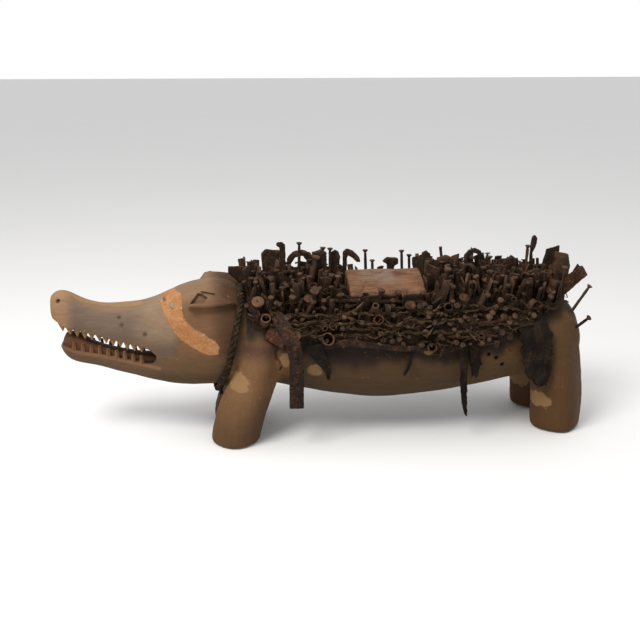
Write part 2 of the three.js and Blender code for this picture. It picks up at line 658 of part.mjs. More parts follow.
// Bars and sticks caught in the mass along the flank, and strips that hang from it
const strips = [
  { name: 'rump_blade', finish: 'rust', stations: [
    { at: [428, -25, 246], half: [-9, 0, 12], thick: 5 }, { at: [480, -25, 286], half: [-6, 0, 9], thick: 4 }] },
  { name: 'shoulder_strap', finish: 'iron', stations: [
    { at: [-94, -58, 236], half: [9, 0, 8], thick: strapThickness },
    { at: [-84, -86, 236], half: [10, 0, 7], thick: strapThickness },
    { at: [-72, -106, 222], half: [11, 0, 6], thick: strapThickness },
    { at: [-59, -118, 196], half: [12, 0, 3], thick: strapThickness },
    { at: [-54, -118, 165], half: [strapWidth / 2, 0, 0], thick: strapThickness },
    { at: [-54, -114, 120], half: [strapWidth / 2, 0, 0], thick: strapThickness },
    { at: [-54, -113, 79], half: [strapWidth / 2, 0, 0], thick: strapThickness }] },
  { name: 'red_plate', finish: 'rust', stations: [
    { at: [-99, -84, 212], half: [7, 2, 13], thick: 6 }, { at: [-70, -104, 200], half: [5, 2, 15], thick: 5 }] },
  { name: 'shoulder_rag', finish: 'hide', stations: [
    { at: [-22, -104, 190], half: [15, 0, 3], thick: 3 }, { at: [-12, -108, 164], half: [10, 0, 3], thick: 3 },
    { at: [-1, -107, 146], half: [6, 0, 3], thick: 3 }, { at: [2, -106, 129], half: [2, 0, 0], thick: 2 }] },
  { name: 'short_strip', finish: 'hide', stations: [
    { at: [136, -107, 180], half: [9, 0, 0], thick: 2.5 }, { at: [142, -109, 152], half: [4, 0, 2], thick: 2.5 },
    { at: [133, -107, 129], half: [4, 0, 2], thick: 2.5 }] },
  { name: 'long_strip', finish: 'hide', stations: [
    { at: [236, -102, 200], half: [9, 0, 0], thick: 2.5 }, { at: [236, -113, 160], half: [7, 0, 0], thick: 2.5 },
    { at: [239, -110, 110], half: [6, 0, 0], thick: 2.5 }, { at: [242, -108, 76], half: [4.5, 0, 0], thick: 2.5 },
    { at: [246, -107, 51], half: [3, 0, 1], thick: 2.5 }] },
  { name: 'flank_cloth', finish: 'hide', stations: [
    { at: [256, -100, 198], half: [10, 0, 0], thick: 3 }, { at: [258, -108, 158], half: [9, 0, 0], thick: 3 },
    { at: [260, -104, 120], half: [7, 0, 0], thick: 3 }] },
  { name: 'haunch_cloth', finish: 'hide', stations: [
    { at: [360, -76, 228], half: [22, 2, 0], thick: 4 }, { at: [362, -102, 210], half: [26, -1, 0], thick: 4 },
    { at: [365, -109, 186], half: [28, -3, 0], thick: 4 }, { at: [368, -109, 156], half: [27, -4, 0], thick: 4 },
    { at: [374, -107, 120], half: [21, -4, 0], thick: 4 }, { at: [380, -106, 98], half: [13, -3, 0], thick: 4 }] },
  { name: 'split_stick', finish: 'rust', stations: [
    { at: [-38, -86, 216], half: [0, 0, 4], thick: 6 }, { at: [18, -96, 234], half: [0, 0, 5], thick: 6 },
    { at: [62, -76, 240], half: [0, 0, 5], thick: 6 }] },
  { name: 'long_rod', finish: 'iron', stations: [
    { at: [-54, -56, 248], half: [0, 0, 3.5], thick: 6 }, { at: [-40, -71, 261], half: [0, 0, 3.5], thick: 6 },
    { at: [206, -75, 248], half: [0, 0, 3], thick: 5 }, { at: [220, -66, 238], half: [0, 0, 3], thick: 5 }] },
  { name: 'bowed_strip', finish: 'iron', stations: [
    { at: [-8, -104, 186], half: [0, 0, 6], thick: 4 }, { at: [28, -117, 196], half: [0, 0, 6], thick: 4 },
    { at: [70, -117, 190], half: [0, 0, 5.5], thick: 4 }, { at: [125, -115, 181], half: [0, 0, 5], thick: 4 },
    { at: [174, -106, 176], half: [0, 0, 4], thick: 4 }] },
  { name: 'thin_bar', finish: 'rust', stations: [
    { at: [248, -94, 213], half: [0, 0, 3.2], thick: 4 }, { at: [290, -106, 219], half: [0, 0, 3.2], thick: 4 },
    { at: [332, -92, 224], half: [0, 0, 3], thick: 4 }] },
];

// Beds of iron: the stretch along X, the angles round the trunk, how far the irons stand out
const flankAngles = [47, 68];
const beds = [
  { name: 'iron_bed_front', from: -133, to: 43, alongX: 34, half: 0, topOut: 71, flankOut: 30,
    blades: 0.6, angles: [-75, -49, -20, 2, 24, 51, 76] },
  { name: 'iron_bed_rear', from: 184, to: 452, alongX: 42, half: 0, topOut: 75, flankOut: 30,
    blades: 0.6, angles: [-69, -45, -19, 2, 23, 47, 69] },
  { name: 'iron_bed_left', from: 46, to: 182, alongX: 30, half: -1, topOut: 46, flankOut: 28,
    blades: 0.3, angles: flankAngles },
  { name: 'iron_bed_right', from: 46, to: 182, alongX: 30, half: 1, topOut: 46, flankOut: 28,
    blades: 0.3, angles: flankAngles.map((angle) => -angle) },
];

function ironBed(bed, grow) {
  const irons = bedIrons(bed.from, bed.to, bed, grow);
  return fuse([crust(bed.from, bed.to, bed.half, grow), ...irons]);
}

// Assembly, from the wood outwards
place('left_eye', 'eye', (grow) => eye(-1, grow));
place('right_eye', 'eye', (grow) => eye(1, grow));
place('carved_pig', 'wood', carvedPig, carving);
place('back_block', 'block', backBlock);
place('neck_rope', 'rope', neckRope);
for (const { name, finish, stations } of strips) place(name, finish, (grow) => ribbon(stations, grow));
for (const { name, outline, y, thick } of plates) place(name, 'iron', (grow) => plate(outline, y, thick, grow));
for (const { name, root, tip } of tallNails) {
  place(name, 'iron', (grow) => nail(vec(...root), vec(...tip), shankRadius, shankHead, 5, grow));
}
for (const { name, x, z, out, head } of flankNails) {
  const { root, tip } = drivenIn(x, angleFor(x, z, out), out);
  place(name, 'rust', (grow) => nail(root, tip, boltRadius, head, 8, grow));
}
for (const { name, x, z, out, radius } of flankTubes) {
  const { root, tip } = drivenIn(x, angleFor(x, z, out), out);
  place(name, 'rust', (grow) => tube(root, tip, radius, grow));
}
for (const bed of beds) place(bed.name, 'iron', (grow) => ironBed(bed, grow));

// The origin goes to the middle of the box that holds everything, on the ground
const bounds = new THREE.Box3().setFromObject(group);
const middle = bounds.getCenter(vec(0, 0, 0));
group.position.set(-middle.x, -middle.y, 0);
group.updateMatrixWorld(true);

export default group;
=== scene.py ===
import math
import random

import bmesh
import bpy
from mathutils import Matrix, Vector, noise
from mathutils.bvhtree import BVHTree


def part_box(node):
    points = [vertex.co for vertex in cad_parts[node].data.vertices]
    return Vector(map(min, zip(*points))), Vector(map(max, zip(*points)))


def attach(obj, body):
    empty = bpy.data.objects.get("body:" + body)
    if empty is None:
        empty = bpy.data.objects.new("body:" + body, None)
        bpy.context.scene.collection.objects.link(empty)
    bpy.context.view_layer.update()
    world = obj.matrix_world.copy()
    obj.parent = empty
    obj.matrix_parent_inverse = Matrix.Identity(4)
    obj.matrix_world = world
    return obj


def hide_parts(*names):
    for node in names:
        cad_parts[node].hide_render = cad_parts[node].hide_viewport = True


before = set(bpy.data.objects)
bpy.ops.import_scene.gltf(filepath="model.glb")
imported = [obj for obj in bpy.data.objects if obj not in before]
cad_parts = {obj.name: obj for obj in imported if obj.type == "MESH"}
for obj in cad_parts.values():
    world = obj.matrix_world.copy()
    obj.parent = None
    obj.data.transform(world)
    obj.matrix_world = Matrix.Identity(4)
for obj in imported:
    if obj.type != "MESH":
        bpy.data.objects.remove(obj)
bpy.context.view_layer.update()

# Every size below is in millimetres, measured from the ground and from the middle of the trunk.
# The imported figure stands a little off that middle, and shift is that offset.
mm = 0.001
noseX = -466
carvedLow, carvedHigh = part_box("carved_pig")
shift = Vector((carvedLow.x / mm - noseX, (carvedLow.y + carvedHigh.y) / 2 / mm, 0))
toFrame = Matrix.Scale(mm, 4) @ Matrix.Translation(shift)

# Camera
cameraView = {
    "turn": -7.1,
    "rise": 17.0,
    "distance": 1600,
    "aim": (0, 0, 201.8),
    "lens": 50,
    "sensor": 36,
}


def aimFrom(turn, rise):
    a = math.radians(turn)
    e = math.radians(rise)
    return Vector((math.sin(a) * math.cos(e), -math.cos(a) * math.cos(e), math.sin(e)))


camera = bpy.data.objects.new("camera", bpy.data.cameras.new("camera"))
camera.data.lens = cameraView["lens"]
camera.data.sensor_width = cameraView["sensor"]
back = aimFrom(cameraView["turn"], cameraView["rise"])
camera.location = toFrame @ (Vector(cameraView["aim"]) + back * cameraView["distance"])
camera.rotation_euler = back.to_track_quat("Z", "Y").to_euler()
camera.data.clip_start = 0.05
camera.data.clip_end = 50
bpy.context.scene.collection.objects.link(camera)
bpy.context.scene.camera = camera
print("camera done")


# Numbers
def smooth(low, high, value):
    t = min(max((value - low) / (high - low), 0), 1)
    return t * t * (3 - 2 * t)


def mix(a, b, t):
    return a + (b - a) * t


def fractal(point, size, octaves=3, seed=0):
    return noise.fractal((Vector(point) + Vector((seed * 171, 0, 0))) / size, 1.0, 2.0, octaves)


# Value of a column at x, on a smooth curve through the rows
def along(rows, x, column):
    last = len(rows) - 1
    if x <= rows[0][0]:
        return rows[0][column]
    if x >= rows[last][0]:
        return rows[last][column]
    i = next(k for k, row in enumerate(rows) if row[0] > x) - 1

    def slope(j):
        a = rows[max(j - 1, 0)]
        b = rows[min(j + 1, last)]
        return (b[column] - a[column]) / (b[0] - a[0])

    span = rows[i + 1][0] - rows[i][0]
    t = (x - rows[i][0]) / span
    rise = rows[i + 1][column] - rows[i][column]
    bend = t * (1 - t) * ((1 - t) * (slope(i) * span - rise) - t * (slope(i + 1) * span - rise))
    return rows[i][column] + t * rise + bend


# The trunk and head from nose to rump: place along X, top, underside, half width, squareness
trunkRows = [
    [-466, 261, 228, 16, 2.2],
    [-462, 267, 204, 23, 2.2],
    [-455, 271, 172, 28, 2.3],
    [-445, 272, 153, 29.5, 2.4],
    [-431, 267, 144, 29, 2.4],
    [-410, 256, 138, 26.5, 2.5],
    [-384, 249, 131, 27, 2.5],
    [-352, 247, 121, 30, 2.6],
    [-317, 249, 111, 35, 2.7],
    [-291, 255, 104, 41, 2.8],
    [-268, 264, 99, 48, 2.8],
    [-242, 275, 96, 58, 2.6],
    [-215, 282, 95, 67, 2.5],
    [-186, 284, 96, 72, 2.4],
    [-160, 276, 98, 73, 2.3],
    [-138, 263, 103, 73, 2.2],
    [-108, 252, 99, 79, 2.1],
    [-74, 249, 91, 87, 2.1],
    [-34, 250, 82, 93, 2.1],
    [20, 251, 70, 97, 2.1],
    [110, 251, 59, 100, 2.1],
    [225, 250, 67, 99, 2.1],
    [285, 249, 76, 98, 2.1],
    [345, 248, 88, 97, 2.2],
    [400, 244, 96, 95, 2.2],
    [436, 237, 102, 89, 2.3],
    [457, 223, 110, 76, 2.3],
    [467, 200, 124, 58, 2.2],
]

# Mouth: the edge of the upper lip, the rounded corner and the edge of the lower lip
upperLip = [[-475, 238], [-456, 225], [-441, 213], [-418, 205], [-385, 195], [-352, 185], [-313, 174]]
mouthCorner = [[-300, 169], [-292, 160], [-291, 150], [-298, 144]]
lowerLip = [[-312, 143], [-354, 153], [-387, 160], [-429, 170], [-450, 180], [-458, 172], [-461, 150]]

# Legs as rings from the ground up: height, middle X, middle Y, radius
legs = {
    "spread": 57,
    "farForeShift": 7,
    "fore": [
        [0, -158, 1.0, 36],
        [5, -158, 1.0, 41],
        [44, -149, 1.0, 43],
        [95, -132, 1.0, 42],
        [130, -120, 1.0, 40],
        [165, -109, 1.0, 37],
        [192, -108, 1.02, 31],
        [210, -112, 1.05, 18],
    ],
    "hind": [
        [0, 432, 1.0, 39],
        [5, 432, 1.0, 44],
        [67, 430, 1.0, 46],
        [141, 422, 1.0, 45],
        [190, 412, 0.93, 42],
        [216, 404, 0.85, 30],
    ],
}


# Lower edge of the bed of irons on the flanks
bedEdge = [
    [-136, 262], [-134, 216], [-100, 208], [-72, 190], [-20, 182], [66, 176], [150, 172],
    [205, 158], [250, 166], [305, 176], [345, 200], [384, 216], [427, 236], [462, 226],
]


# Top, underside, half width and squareness of the trunk at x
trunkStart, trunkEnd, trunkStep = -470, 472, 2
trunkFine = [
    [along(trunkRows, x, column) for column in (1, 2, 3, 4)] for x in range(trunkStart, trunkEnd, trunkStep)
]


def trunkSection(x):
    place = min(max((x - trunkStart) / trunkStep, 0), len(trunkFine) - 1.001)
    i = int(place)
    return [mix(a, b, place - i) for a, b in zip(trunkFine[i], trunkFine[i + 1])]


# Places on the trunk: angle 0 is the top of the back, a positive angle goes to the -Y side
def trunkPoint(x, angle, grow=0.0):
    top, base, half, power = trunkSection(x)
    top += grow
    base -= grow
    half += grow
    power = 2 / power
    s = math.sin(angle)
    c = math.cos(angle)
    y = -half * math.copysign(abs(s) ** power, s)
    z = (top + base) / 2 + (top - base) / 2 * math.copysign(abs(c) ** power, c)
    return Vector((x, y, z))


def trunkNormal(x, angle):
    across = trunkPoint(x, angle + 0.02) - trunkPoint(x, angle - 0.02)
    return Vector((0, across.z, -across.y)).normalized()


def trunkAround(x, angle):
    return (trunkPoint(x, angle + 0.05) - trunkPoint(x, angle - 0.05)).normalized()


# Half width of the jaw at a height
def jawHalfWidth(x, z):
    top, base, half, power = trunkSection(x)
    share = min(abs(z - (top + base) / 2) / ((top - base) / 2), 1)
    return half * (1 - share**power) ** (1 / power)


# Straight-line height of a lip or edge at x
def lineHeight(line, x):
    points = sorted(line)
    i = next((k for k, point in enumerate(points) if point[0] > x), len(points) - 1)
    a, b = points[max(i, 1) - 1], points[max(i, 1)]
    return mix(a[1], b[1], (x - a[0]) / (b[0] - a[0]))


# Shapes
def addRing(bm, points):
    made = bmesh.ops.create_circle(bm, cap_ends=False, segments=len(points))["verts"]
    for vert, point in zip(made, points):
        vert.co = point
    return list({edge for vert in made for edge in vert.link_edges})


# Adds a finished small shape to a larger one
def addTo(bm, own):
    mesh = bpy.data.meshes.new("part")
    own.to_mesh(mesh)
    own.free()
    bm.from_mesh(mesh)
    bpy.data.meshes.remove(mesh)


# Skin over rings of points: a sheet wrapped to a tube, closed at both ends unless it runs round
def loft(bm, rings, around=False):
    own = bmesh.new()
    sides = len(rings[0])
    rows = len(rings) + (1 if around else 0)
    sheet = bmesh.ops.create_grid(own, x_segments=sides, y_segments=rows - 1, size=1)["verts"]
    seam = []
    for index, vert in enumerate(sheet):
        i, k = divmod(index, sides + 1)
        vert.co = rings[i % len(rings)][k % sides]
        if k in (0, sides) or (around and i in (0, rows - 1)):
            seam.append(vert)
    bmesh.ops.remove_doubles(own, verts=seam, dist=0.001)
    if not around:
        bmesh.ops.holes_fill(own, edges=[edge for edge in own.edges if edge.is_boundary], sides=0)
    bmesh.ops.recalc_face_normals(own, faces=own.faces)
    addTo(bm, own)


# A flat outline in X and Z, made thick along Y
def addPlate(bm, outline, y, thickness):
    loop = addRing(bm, [Vector((x, y - thickness / 2, z)) for x, z in outline])
    made = bmesh.ops.edgeloop_fill(bm, edges=loop)["faces"]
    pushed = bmesh.ops.extrude_face_region(bm, geom=made)["geom"]
    verts = [part for part in pushed if isinstance(part, bmesh.types.BMVert)]
    bmesh.ops.translate(bm, vec=(0, thickness, 0), verts=verts)
    bmesh.ops.recalc_face_normals(bm, faces=bm.faces)


def newPiece(bm, name):
    mesh = bpy.data.meshes.new(name)
    bm.to_mesh(mesh)
    bm.free()
    piece = bpy.data.objects.new(name, mesh)
    bpy.context.scene.collection.objects.link(piece)
    return piece


# Puts the piece's modifiers into its mesh
def settle(piece):
    graph = bpy.context.evaluated_depsgraph_get()
    mesh = bpy.data.meshes.new_from_object(piece.evaluated_get(graph), depsgraph=graph)
    piece.modifiers.clear()
    old = piece.data
    piece.data = mesh
    mesh.name = piece.name
    bpy.data.meshes.remove(old)


def cutWith(piece, tool, operation):
    change = piece.modifiers.new(operation, "BOOLEAN")
    change.operation = operation
    change.object = tool
    change.solver = "MANIFOLD"
    settle(piece)
    bpy.data.objects.remove(tool)


def remesh(piece, voxel):
    change = piece.modifiers.new("remesh", "REMESH")
    change.mode = "VOXEL"
    change.voxel_size = voxel
    settle(piece)


# Gives a finished piece its place in the frame, its materials and its body
def handOver(piece, materials, nodes=()):
    piece.data.transform(toFrame)
    piece.data.materials.clear()
    for material in materials:
        piece.data.materials.append(material)
    for face in piece.data.polygons:
        face.use_smooth = True
    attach(piece, "root")
    if nodes:
        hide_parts(*nodes)
    print(piece.name, len(piece.data.polygons))
    return piece


# Materials
class Wire:
    def __init__(self, tree, socket=None):
        self.tree = tree
        self.socket = socket

    # Any node, from its type, its settings, and the values or links of its sockets
    def make(self, kind, settings=None, sockets=None, out=0):
        node = self.tree.nodes.new(kind)
        for name, value in (settings or {}).items():
            if name == "stops":
                ramp = node.color_ramp
                while len(ramp.elements) < len(value):
                    ramp.elements.new(0.5)
                for element, (position, colour) in zip(ramp.elements, value):
                    element.position = position
                    element.color = (*colour, 1)
            else:
                setattr(node, name, value)
        for name, value in (sockets or {}).items():
            if isinstance(value, Wire):
                self.tree.links.new(value.socket, node.inputs[name])
            else:
                node.inputs[name].default_value = value
        return Wire(self.tree, node.outputs[out])

    def sum(self, operation, first, second=0.0, third=0.0):
        sockets = {0: first, 1: second, 2: third}
        return self.make("ShaderNodeMath", {"operation": operation}, sockets)

    def __add__(self, other):
        return self.sum("ADD", self, other)

    def __sub__(self, other):
        return self.sum("SUBTRACT", self, other)

    def __rsub__(self, other):
        return self.sum("SUBTRACT", other, self)

    def __mul__(self, other):
        return self.sum("MULTIPLY", self, other)

    __radd__ = __add__
    __rmul__ = __mul__

    def __pow__(self, other):
        return self.sum("POWER", self, other)

    # 0 below low, 1 above high, smooth between
    def step(self, low, high):
        settings = {"interpolation_type": "SMOOTHSTEP"}
        return self.make("ShaderNodeMapRange", settings, {0: self, 1: low, 2: high, 3: 0.0, 4: 1.0})

    def most(self, other):
        return self.sum("MAXIMUM", self, other)

    def least(self, other):
        return self.sum("MINIMUM", self, other)

    # Colour between two colours
    def tint(self, first, second, blend="MIX"):
        sockets = {0: self}
        for index, colour in ((6, first), (7, second)):
            sockets[index] = colour if isinstance(colour, Wire) else (*colour, 1)
        settings = {"data_type": "RGBA", "blend_type": blend, "clamp_factor": True}
        return self.make("ShaderNodeMix", settings, sockets, out=2)

    def attribute(self, name):
        return self.make("ShaderNodeAttribute", {"attribute_name": name}, out=2)

    # Noise of a size in millimetres, drawn out by stretch
    def noise(self, place, size, detail=4.0, rough=0.55, stretch=(1, 1, 1), twist=0.0):
        scaled = self.make(
            "ShaderNodeMapping", None, {"Vector": place, "Scale": [1 / (size * s) for s in stretch]}
        )
        sockets = {"Vector": scaled, "Scale": 1.0, "Detail": detail, "Roughness": rough}
        return self.make("ShaderNodeTexNoise", None, {**sockets, "Distortion": twist})

    def cells(self, place, size, feature="F1", stretch=(1, 1, 1)):
        scaled = self.make(
            "ShaderNodeMapping", None, {"Vector": place, "Scale": [1 / (size * s) for s in stretch]}
        )
        return self.make("ShaderNodeTexVoronoi", {"feature": feature}, {"Vector": scaled, "Scale": 1.0})

    def parts(self, place):
        return [self.make("ShaderNodeSeparateXYZ", None, {0: place}, out=i) for i in range(3)]


# Tones are given as they look in the studio's light, 0 to 255, and taken down to the surface's own
lit = 0.44
matt = {"Specular IOR Level": 0.12}


def tone(red, green, blue):
    def linear(value):
        share = value / 255
        return lit * (share / 12.92 if share <= 0.04045 else ((share + 0.055) / 1.055) ** 2.4)

    return (linear(red), linear(green), linear(blue))


def newMaterial(name):
    material = bpy.data.materials.new(name)
    material.use_nodes = True
    material.node_tree.nodes.clear()
    return material, Wire(material.node_tree)


# Places in millimetres from the middle of the trunk
def placeOf(wire):
    spot = wire.make("ShaderNodeTexCoord", None, None, out=3)
    scaled = wire.make("ShaderNodeVectorMath", {"operation": "SCALE"}, {0: spot, 3: 1 / mm})
    return wire.make("ShaderNodeVectorMath", {"operation": "SUBTRACT"}, {0: scaled, 1: shift})


def closeMaterial(wire, colour, roughness, height, depth, metallic=0.0, fixed=None):
    bump = wire.make(
        "ShaderNodeBump", None, {"Height": height, "Distance": depth * mm, "Strength": 1.0}
    )
    sockets = {"Base Color": colour, "Roughness": roughness, "Metallic": metallic, "Normal": bump}
    shader = wire.make("ShaderNodeBsdfPrincipled", None, {**sockets, **(fixed or {})})
    output = wire.tree.nodes.new("ShaderNodeOutputMaterial")
    wire.tree.links.new(shader.socket, output.inputs["Surface"])


# The carved wood
carving = {
    "step": 7,
    "sides": 56,
    "legSides": 28,
    "legStep": 6,
    "voxel": 3.0,
    "mouthDepth": 170,
}
# Tongue rows: place along X, top, half width
tongue = [
    [-450, 187, 8], [-447, 194, 14], [-437, 197, 18], [-420, 193, 18], [-404, 181, 17],
    [-380, 170, 16], [-330, 157, 16], [-292, 153, 18],
]
ear = {
    "leaf": [[0, -17], [6, -4], [19, 15], [29, 15], [57, 7], [82, -4], [64, -10], [34, -17]],
    "hollow": [[4, -10], [15, 8], [22, 7], [31, 1], [25, -8]],
    "slot": [[20, 12], [46, 9], [46, 6], [20, 8]],
    "x": -231,
    "y": 54,
    "z": 264,
    "tilt": 0.5,
    "turn": 0.1,
    "farShift": 10,
    "thickness": 24,
    "sunk": 10,
    "bevel": 2.5,
}
nostril = {"x": -452, "z": 259, "radius": 4.3, "depth": 16, "ahead": 0.55}
nailHoles = [(303, 176), (281, 180), (299, 151), (271, 140), (312, 137), (285, 158)]
legHole = {"x": 404, "z": 164, "radius": 3.2}


def trunkRings():
    first = trunkRows[0][0]
    last = trunkRows[-1][0]
    count = round((last - first) / carving["step"])
    rings = []
    for i in range(count + 1):
        x = mix(first, last, i / count)
        ring = []
        for k in range(carving["sides"]):
            angle = 2 * math.pi * (k + 0.5) / carving["sides"]
            ring.append(trunkPoint(x, angle))
        rings.append(ring)
    return rings


def legRings(rows, side, shiftX, seed):
    top = rows[-1][0]
    heights = [0, 1.5, 3.5, 6] + [6 + carving["legStep"] * i for i in range(1, int((top - 6) / carving["legStep"]) + 1)]
    rings = []
    for z in heights:
        x = along(rows, z, 1) + shiftX
        y = side * along(rows, z, 2) * legs["spread"]
        radius = along(rows, z, 3)
        ring = []
        for k in range(carving["legSides"]):
            a = 2 * math.pi * k / carving["legSides"]
            squarer = 1 + 0.035 * math.cos(4 * a)
            lump = 1 + 0.05 * fractal((50 * math.cos(a), 50 * math.sin(a), z * 0.6), 55, 2, seed)
            r = radius * squarer * lump
            ring.append(Vector((x + r * math.cos(a), y + r * math.sin(a), z)))
        rings.append(ring)
    return rings


def earMatrix(side, lift):
    outward = Vector((0, -math.cos(ear["tilt"]), math.sin(ear["tilt"])))
    turn = -ear["turn"] if side < 0 else ear["turn"]
    length = Matrix.Rotation(turn, 3, outward) @ Vector((1, 0, 0))
    rise = outward.cross(length)
    x = ear["x"] + (0 if side < 0 else ear["farShift"])
    spot = Vector((x, -ear["y"], ear["z"])) + outward * lift
    base = Matrix((length, rise, outward)).transposed().to_4x4()
    placed = Matrix.Translation(spot) @ base
    return placed if side < 0 else Matrix.Scale(-1, 4, (0, 1, 0)) @ placed


def addEarShape(bm, outline, side, lift, thickness, bevel=0.0, taper=1.0):
    own = bmesh.new()
    loop = addRing(own, [Vector((x, y, 0)) for x, y in outline])
    made = bmesh.ops.edgeloop_fill(own, edges=loop)["faces"]
    pushed = bmesh.ops.extrude_face_region(own, geom=made)["geom"]
    verts = [part for part in pushed if isinstance(part, bmesh.types.BMVert)]
    bmesh.ops.translate(own, vec=(0, 0, thickness), verts=verts)
    middle = sum((vert.co for vert in verts), Vector()) / len(verts)
    bmesh.ops.scale(own, vec=(taper, taper, 1), verts=verts, space=Matrix.Translation(-middle))
    bmesh.ops.recalc_face_normals(own, faces=own.faces)
    if bevel:
        rim = [edge for edge in own.edges if all(vert.co.z > thickness / 2 for vert in edge.verts)]
        bmesh.ops.bevel(
            own, geom=rim, offset=bevel, affect="EDGES", segments=2, profile=0.5, material=-1
        )
    bmesh.ops.transform(own, matrix=earMatrix(side, lift), verts=own.verts)
    bmesh.ops.recalc_face_normals(own, faces=own.faces)
    addTo(bm, own)


def tongueRings():
    rings = []
    section = [(-1, 0), (-1, 0.5), (-0.92, 0.75), (-0.62, 0.95), (0, 1), (0.62, 0.95), (0.92, 0.75), (1, 0.5), (1, 0)]
    for x in range(tongue[0][0], tongue[-1][0] + 1, 4):
        top = along(tongue, x, 1)
        half = along(tongue, x, 2)
        base = lineHeight(lowerLip[:5], x) - 5
        rings.append([Vector((x, side * half, mix(base, top, rise))) for side, rise in section])
    return rings


def addCylinder(bm, middle, axis, radius, length, sides=8):
    made = bmesh.ops.create_cone(
        bm, cap_ends=True, segments=sides, radius1=radius, radius2=radius, depth=length
    )["verts"]
    turn = axis.to_track_quat("Z", "Y").to_matrix().to_4x4()
    bmesh.ops.transform(bm, matrix=Matrix.Translation(middle) @ turn, verts=made)


def carvedBlank():
    bm = bmesh.new()
    loft(bm, trunkRings())
    for side in (-1, 1):
        late = legs["farForeShift"] if side > 0 else 0
        loft(bm, legRings(legs["fore"], side, late, 3 + side))
        loft(bm, legRings(legs["hind"], side, 0, 7 + side))
        addEarShape(bm, ear["leaf"], side, -ear["sunk"], ear["thickness"], ear["bevel"])
    bmesh.ops.recalc_face_normals(bm, faces=bm.faces)
    blank = newPiece(bm, "carvedWood")
    remesh(blank, carving["voxel"])
    tool = bmesh.new()
    mouth = [[-480, 236]] + upperLip + mouthCorner + lowerLip + [[-480, 152]]
    addPlate(tool, mouth, 0, carving["mouthDepth"])
    for side in (-1, 1):
        addEarShape(tool, ear["hollow"], side, 3, ear["thickness"], 0, 1.25)
        addEarShape(tool, ear["slot"], side, 9, ear["thickness"])
        angle = -side * sideAngle(nostril["x"], nostril["z"])
        axis = (trunkNormal(nostril["x"], angle) - Vector((nostril["ahead"], 0, 0))).normalized()
        addCylinder(tool, trunkPoint(nostril["x"], angle), axis, nostril["radius"], nostril["depth"], 14)
    for x, z in nailHoles:
        spot = trunkPoint(x, sideAngle(x, z))
        addCylinder(tool, spot, trunkNormal(x, sideAngle(x, z)), 3, 14)
    cutWith(blank, newPiece(tool, "cuts"), "DIFFERENCE")
    return blank


# Angle on the -Y side at which the trunk is at a height
def sideAngle(x, z, grow=0.0):
    low, high = 0.0, math.pi
    for _ in range(24):
        middle = (low + high) / 2
        if trunkPoint(x, middle, grow).z > z:
            low = middle
        else:
            high = middle
    return low




# Teeth cut from the same wood: pointed ones above, blunt ribs with square hollows between them below
teeth = {
    "upper": {"from": -447, "to": -316, "count": 12, "width": 14.5, "length": 11.5, "thickness": 10, "tip": 0.1},
    "lower": {"from": -431, "to": -317, "count": 9, "width": 8.2, "length": 15, "thickness": 9, "tip": 0.62},
    "sunk": 3,
}


def addTeeth(bm, row, lip, direction):
    for i in range(row["count"]):
        x = mix(row["from"], row["to"], i / (row["count"] - 1))
        z = lineHeight(lip, x)
        height = row["length"] * random.uniform(0.88, 1.1)
        width = row["width"] * random.uniform(0.92, 1.08)
        lean = random.uniform(-1, 1)
        for side in (-1, 1):
            y = side * (jawHalfWidth(x, z) - row["thickness"] / 2 + 0.2)
            made = bmesh.ops.create_cone(
                bm, cap_ends=True, segments=4, radius1=1, radius2=row["tip"], depth=height + teeth["sunk"]
            )["verts"]
            for vert in made:
                if vert.co.z > 0:
                    vert.co.x += lean / width
            size = Matrix.Diagonal((width / 2, row["thickness"] / 2, direction, 1))
            spot = Vector((x, y, z + direction * (height - teeth["sunk"]) / 2))
            bmesh.ops.transform(bm, matrix=Matrix.Translation(spot) @ size, verts=made)


# Joins the tongue and teeth to the head, and keeps their surfaces for the paint
def addMouth(blank):
    random.seed(11)
    shapes = {}
    for name in ("tongue", "lower", "upper"):
        bm = bmesh.new()
        if name == "tongue":
            loft(bm, tongueRings())
        else:
            addTeeth(bm, teeth[name], upperLip if name == "upper" else lowerLip[:5], -1 if name == "upper" else 1)
        bmesh.ops.recalc_face_normals(bm, faces=bm.faces)
        shapes[name] = BVHTree.FromBMesh(bm)
        cutWith(blank, newPiece(bm, name), "UNION")
    return shapes


# Worn tool marks, dents and cracks, pushed into the surface
dents = [
    {"at": (-308, 198), "radius": 6, "depth": 2.2},
    {"at": (-347, 214), "radius": 5, "depth": 1.6},
    {"at": (-351, 227), "radius": 5, "depth": 1.4},
    {"at": (-273, 256), "radius": 5, "depth": 2.6},
    {"at": (-405, 222), "radius": 5, "depth": 1.0},
    {"at": (-330, 235), "radius": 4, "depth": 1.0},
]
crack = {"line": [(-86, 189), (-82, 182), (-87, 173), (-86, 163), (-80, 155), (-77, 146), (-79, 138)], "width": 2.6}


def distanceToLine(point, line):
    best = 1e9
    for a, b in zip(line, line[1:]):
        a = Vector(a)
        along2 = Vector(b) - a
        t = min(max((point - a).dot(along2) / along2.length_squared, 0), 1)
        best = min(best, (point - a - along2 * t).length)
    return best


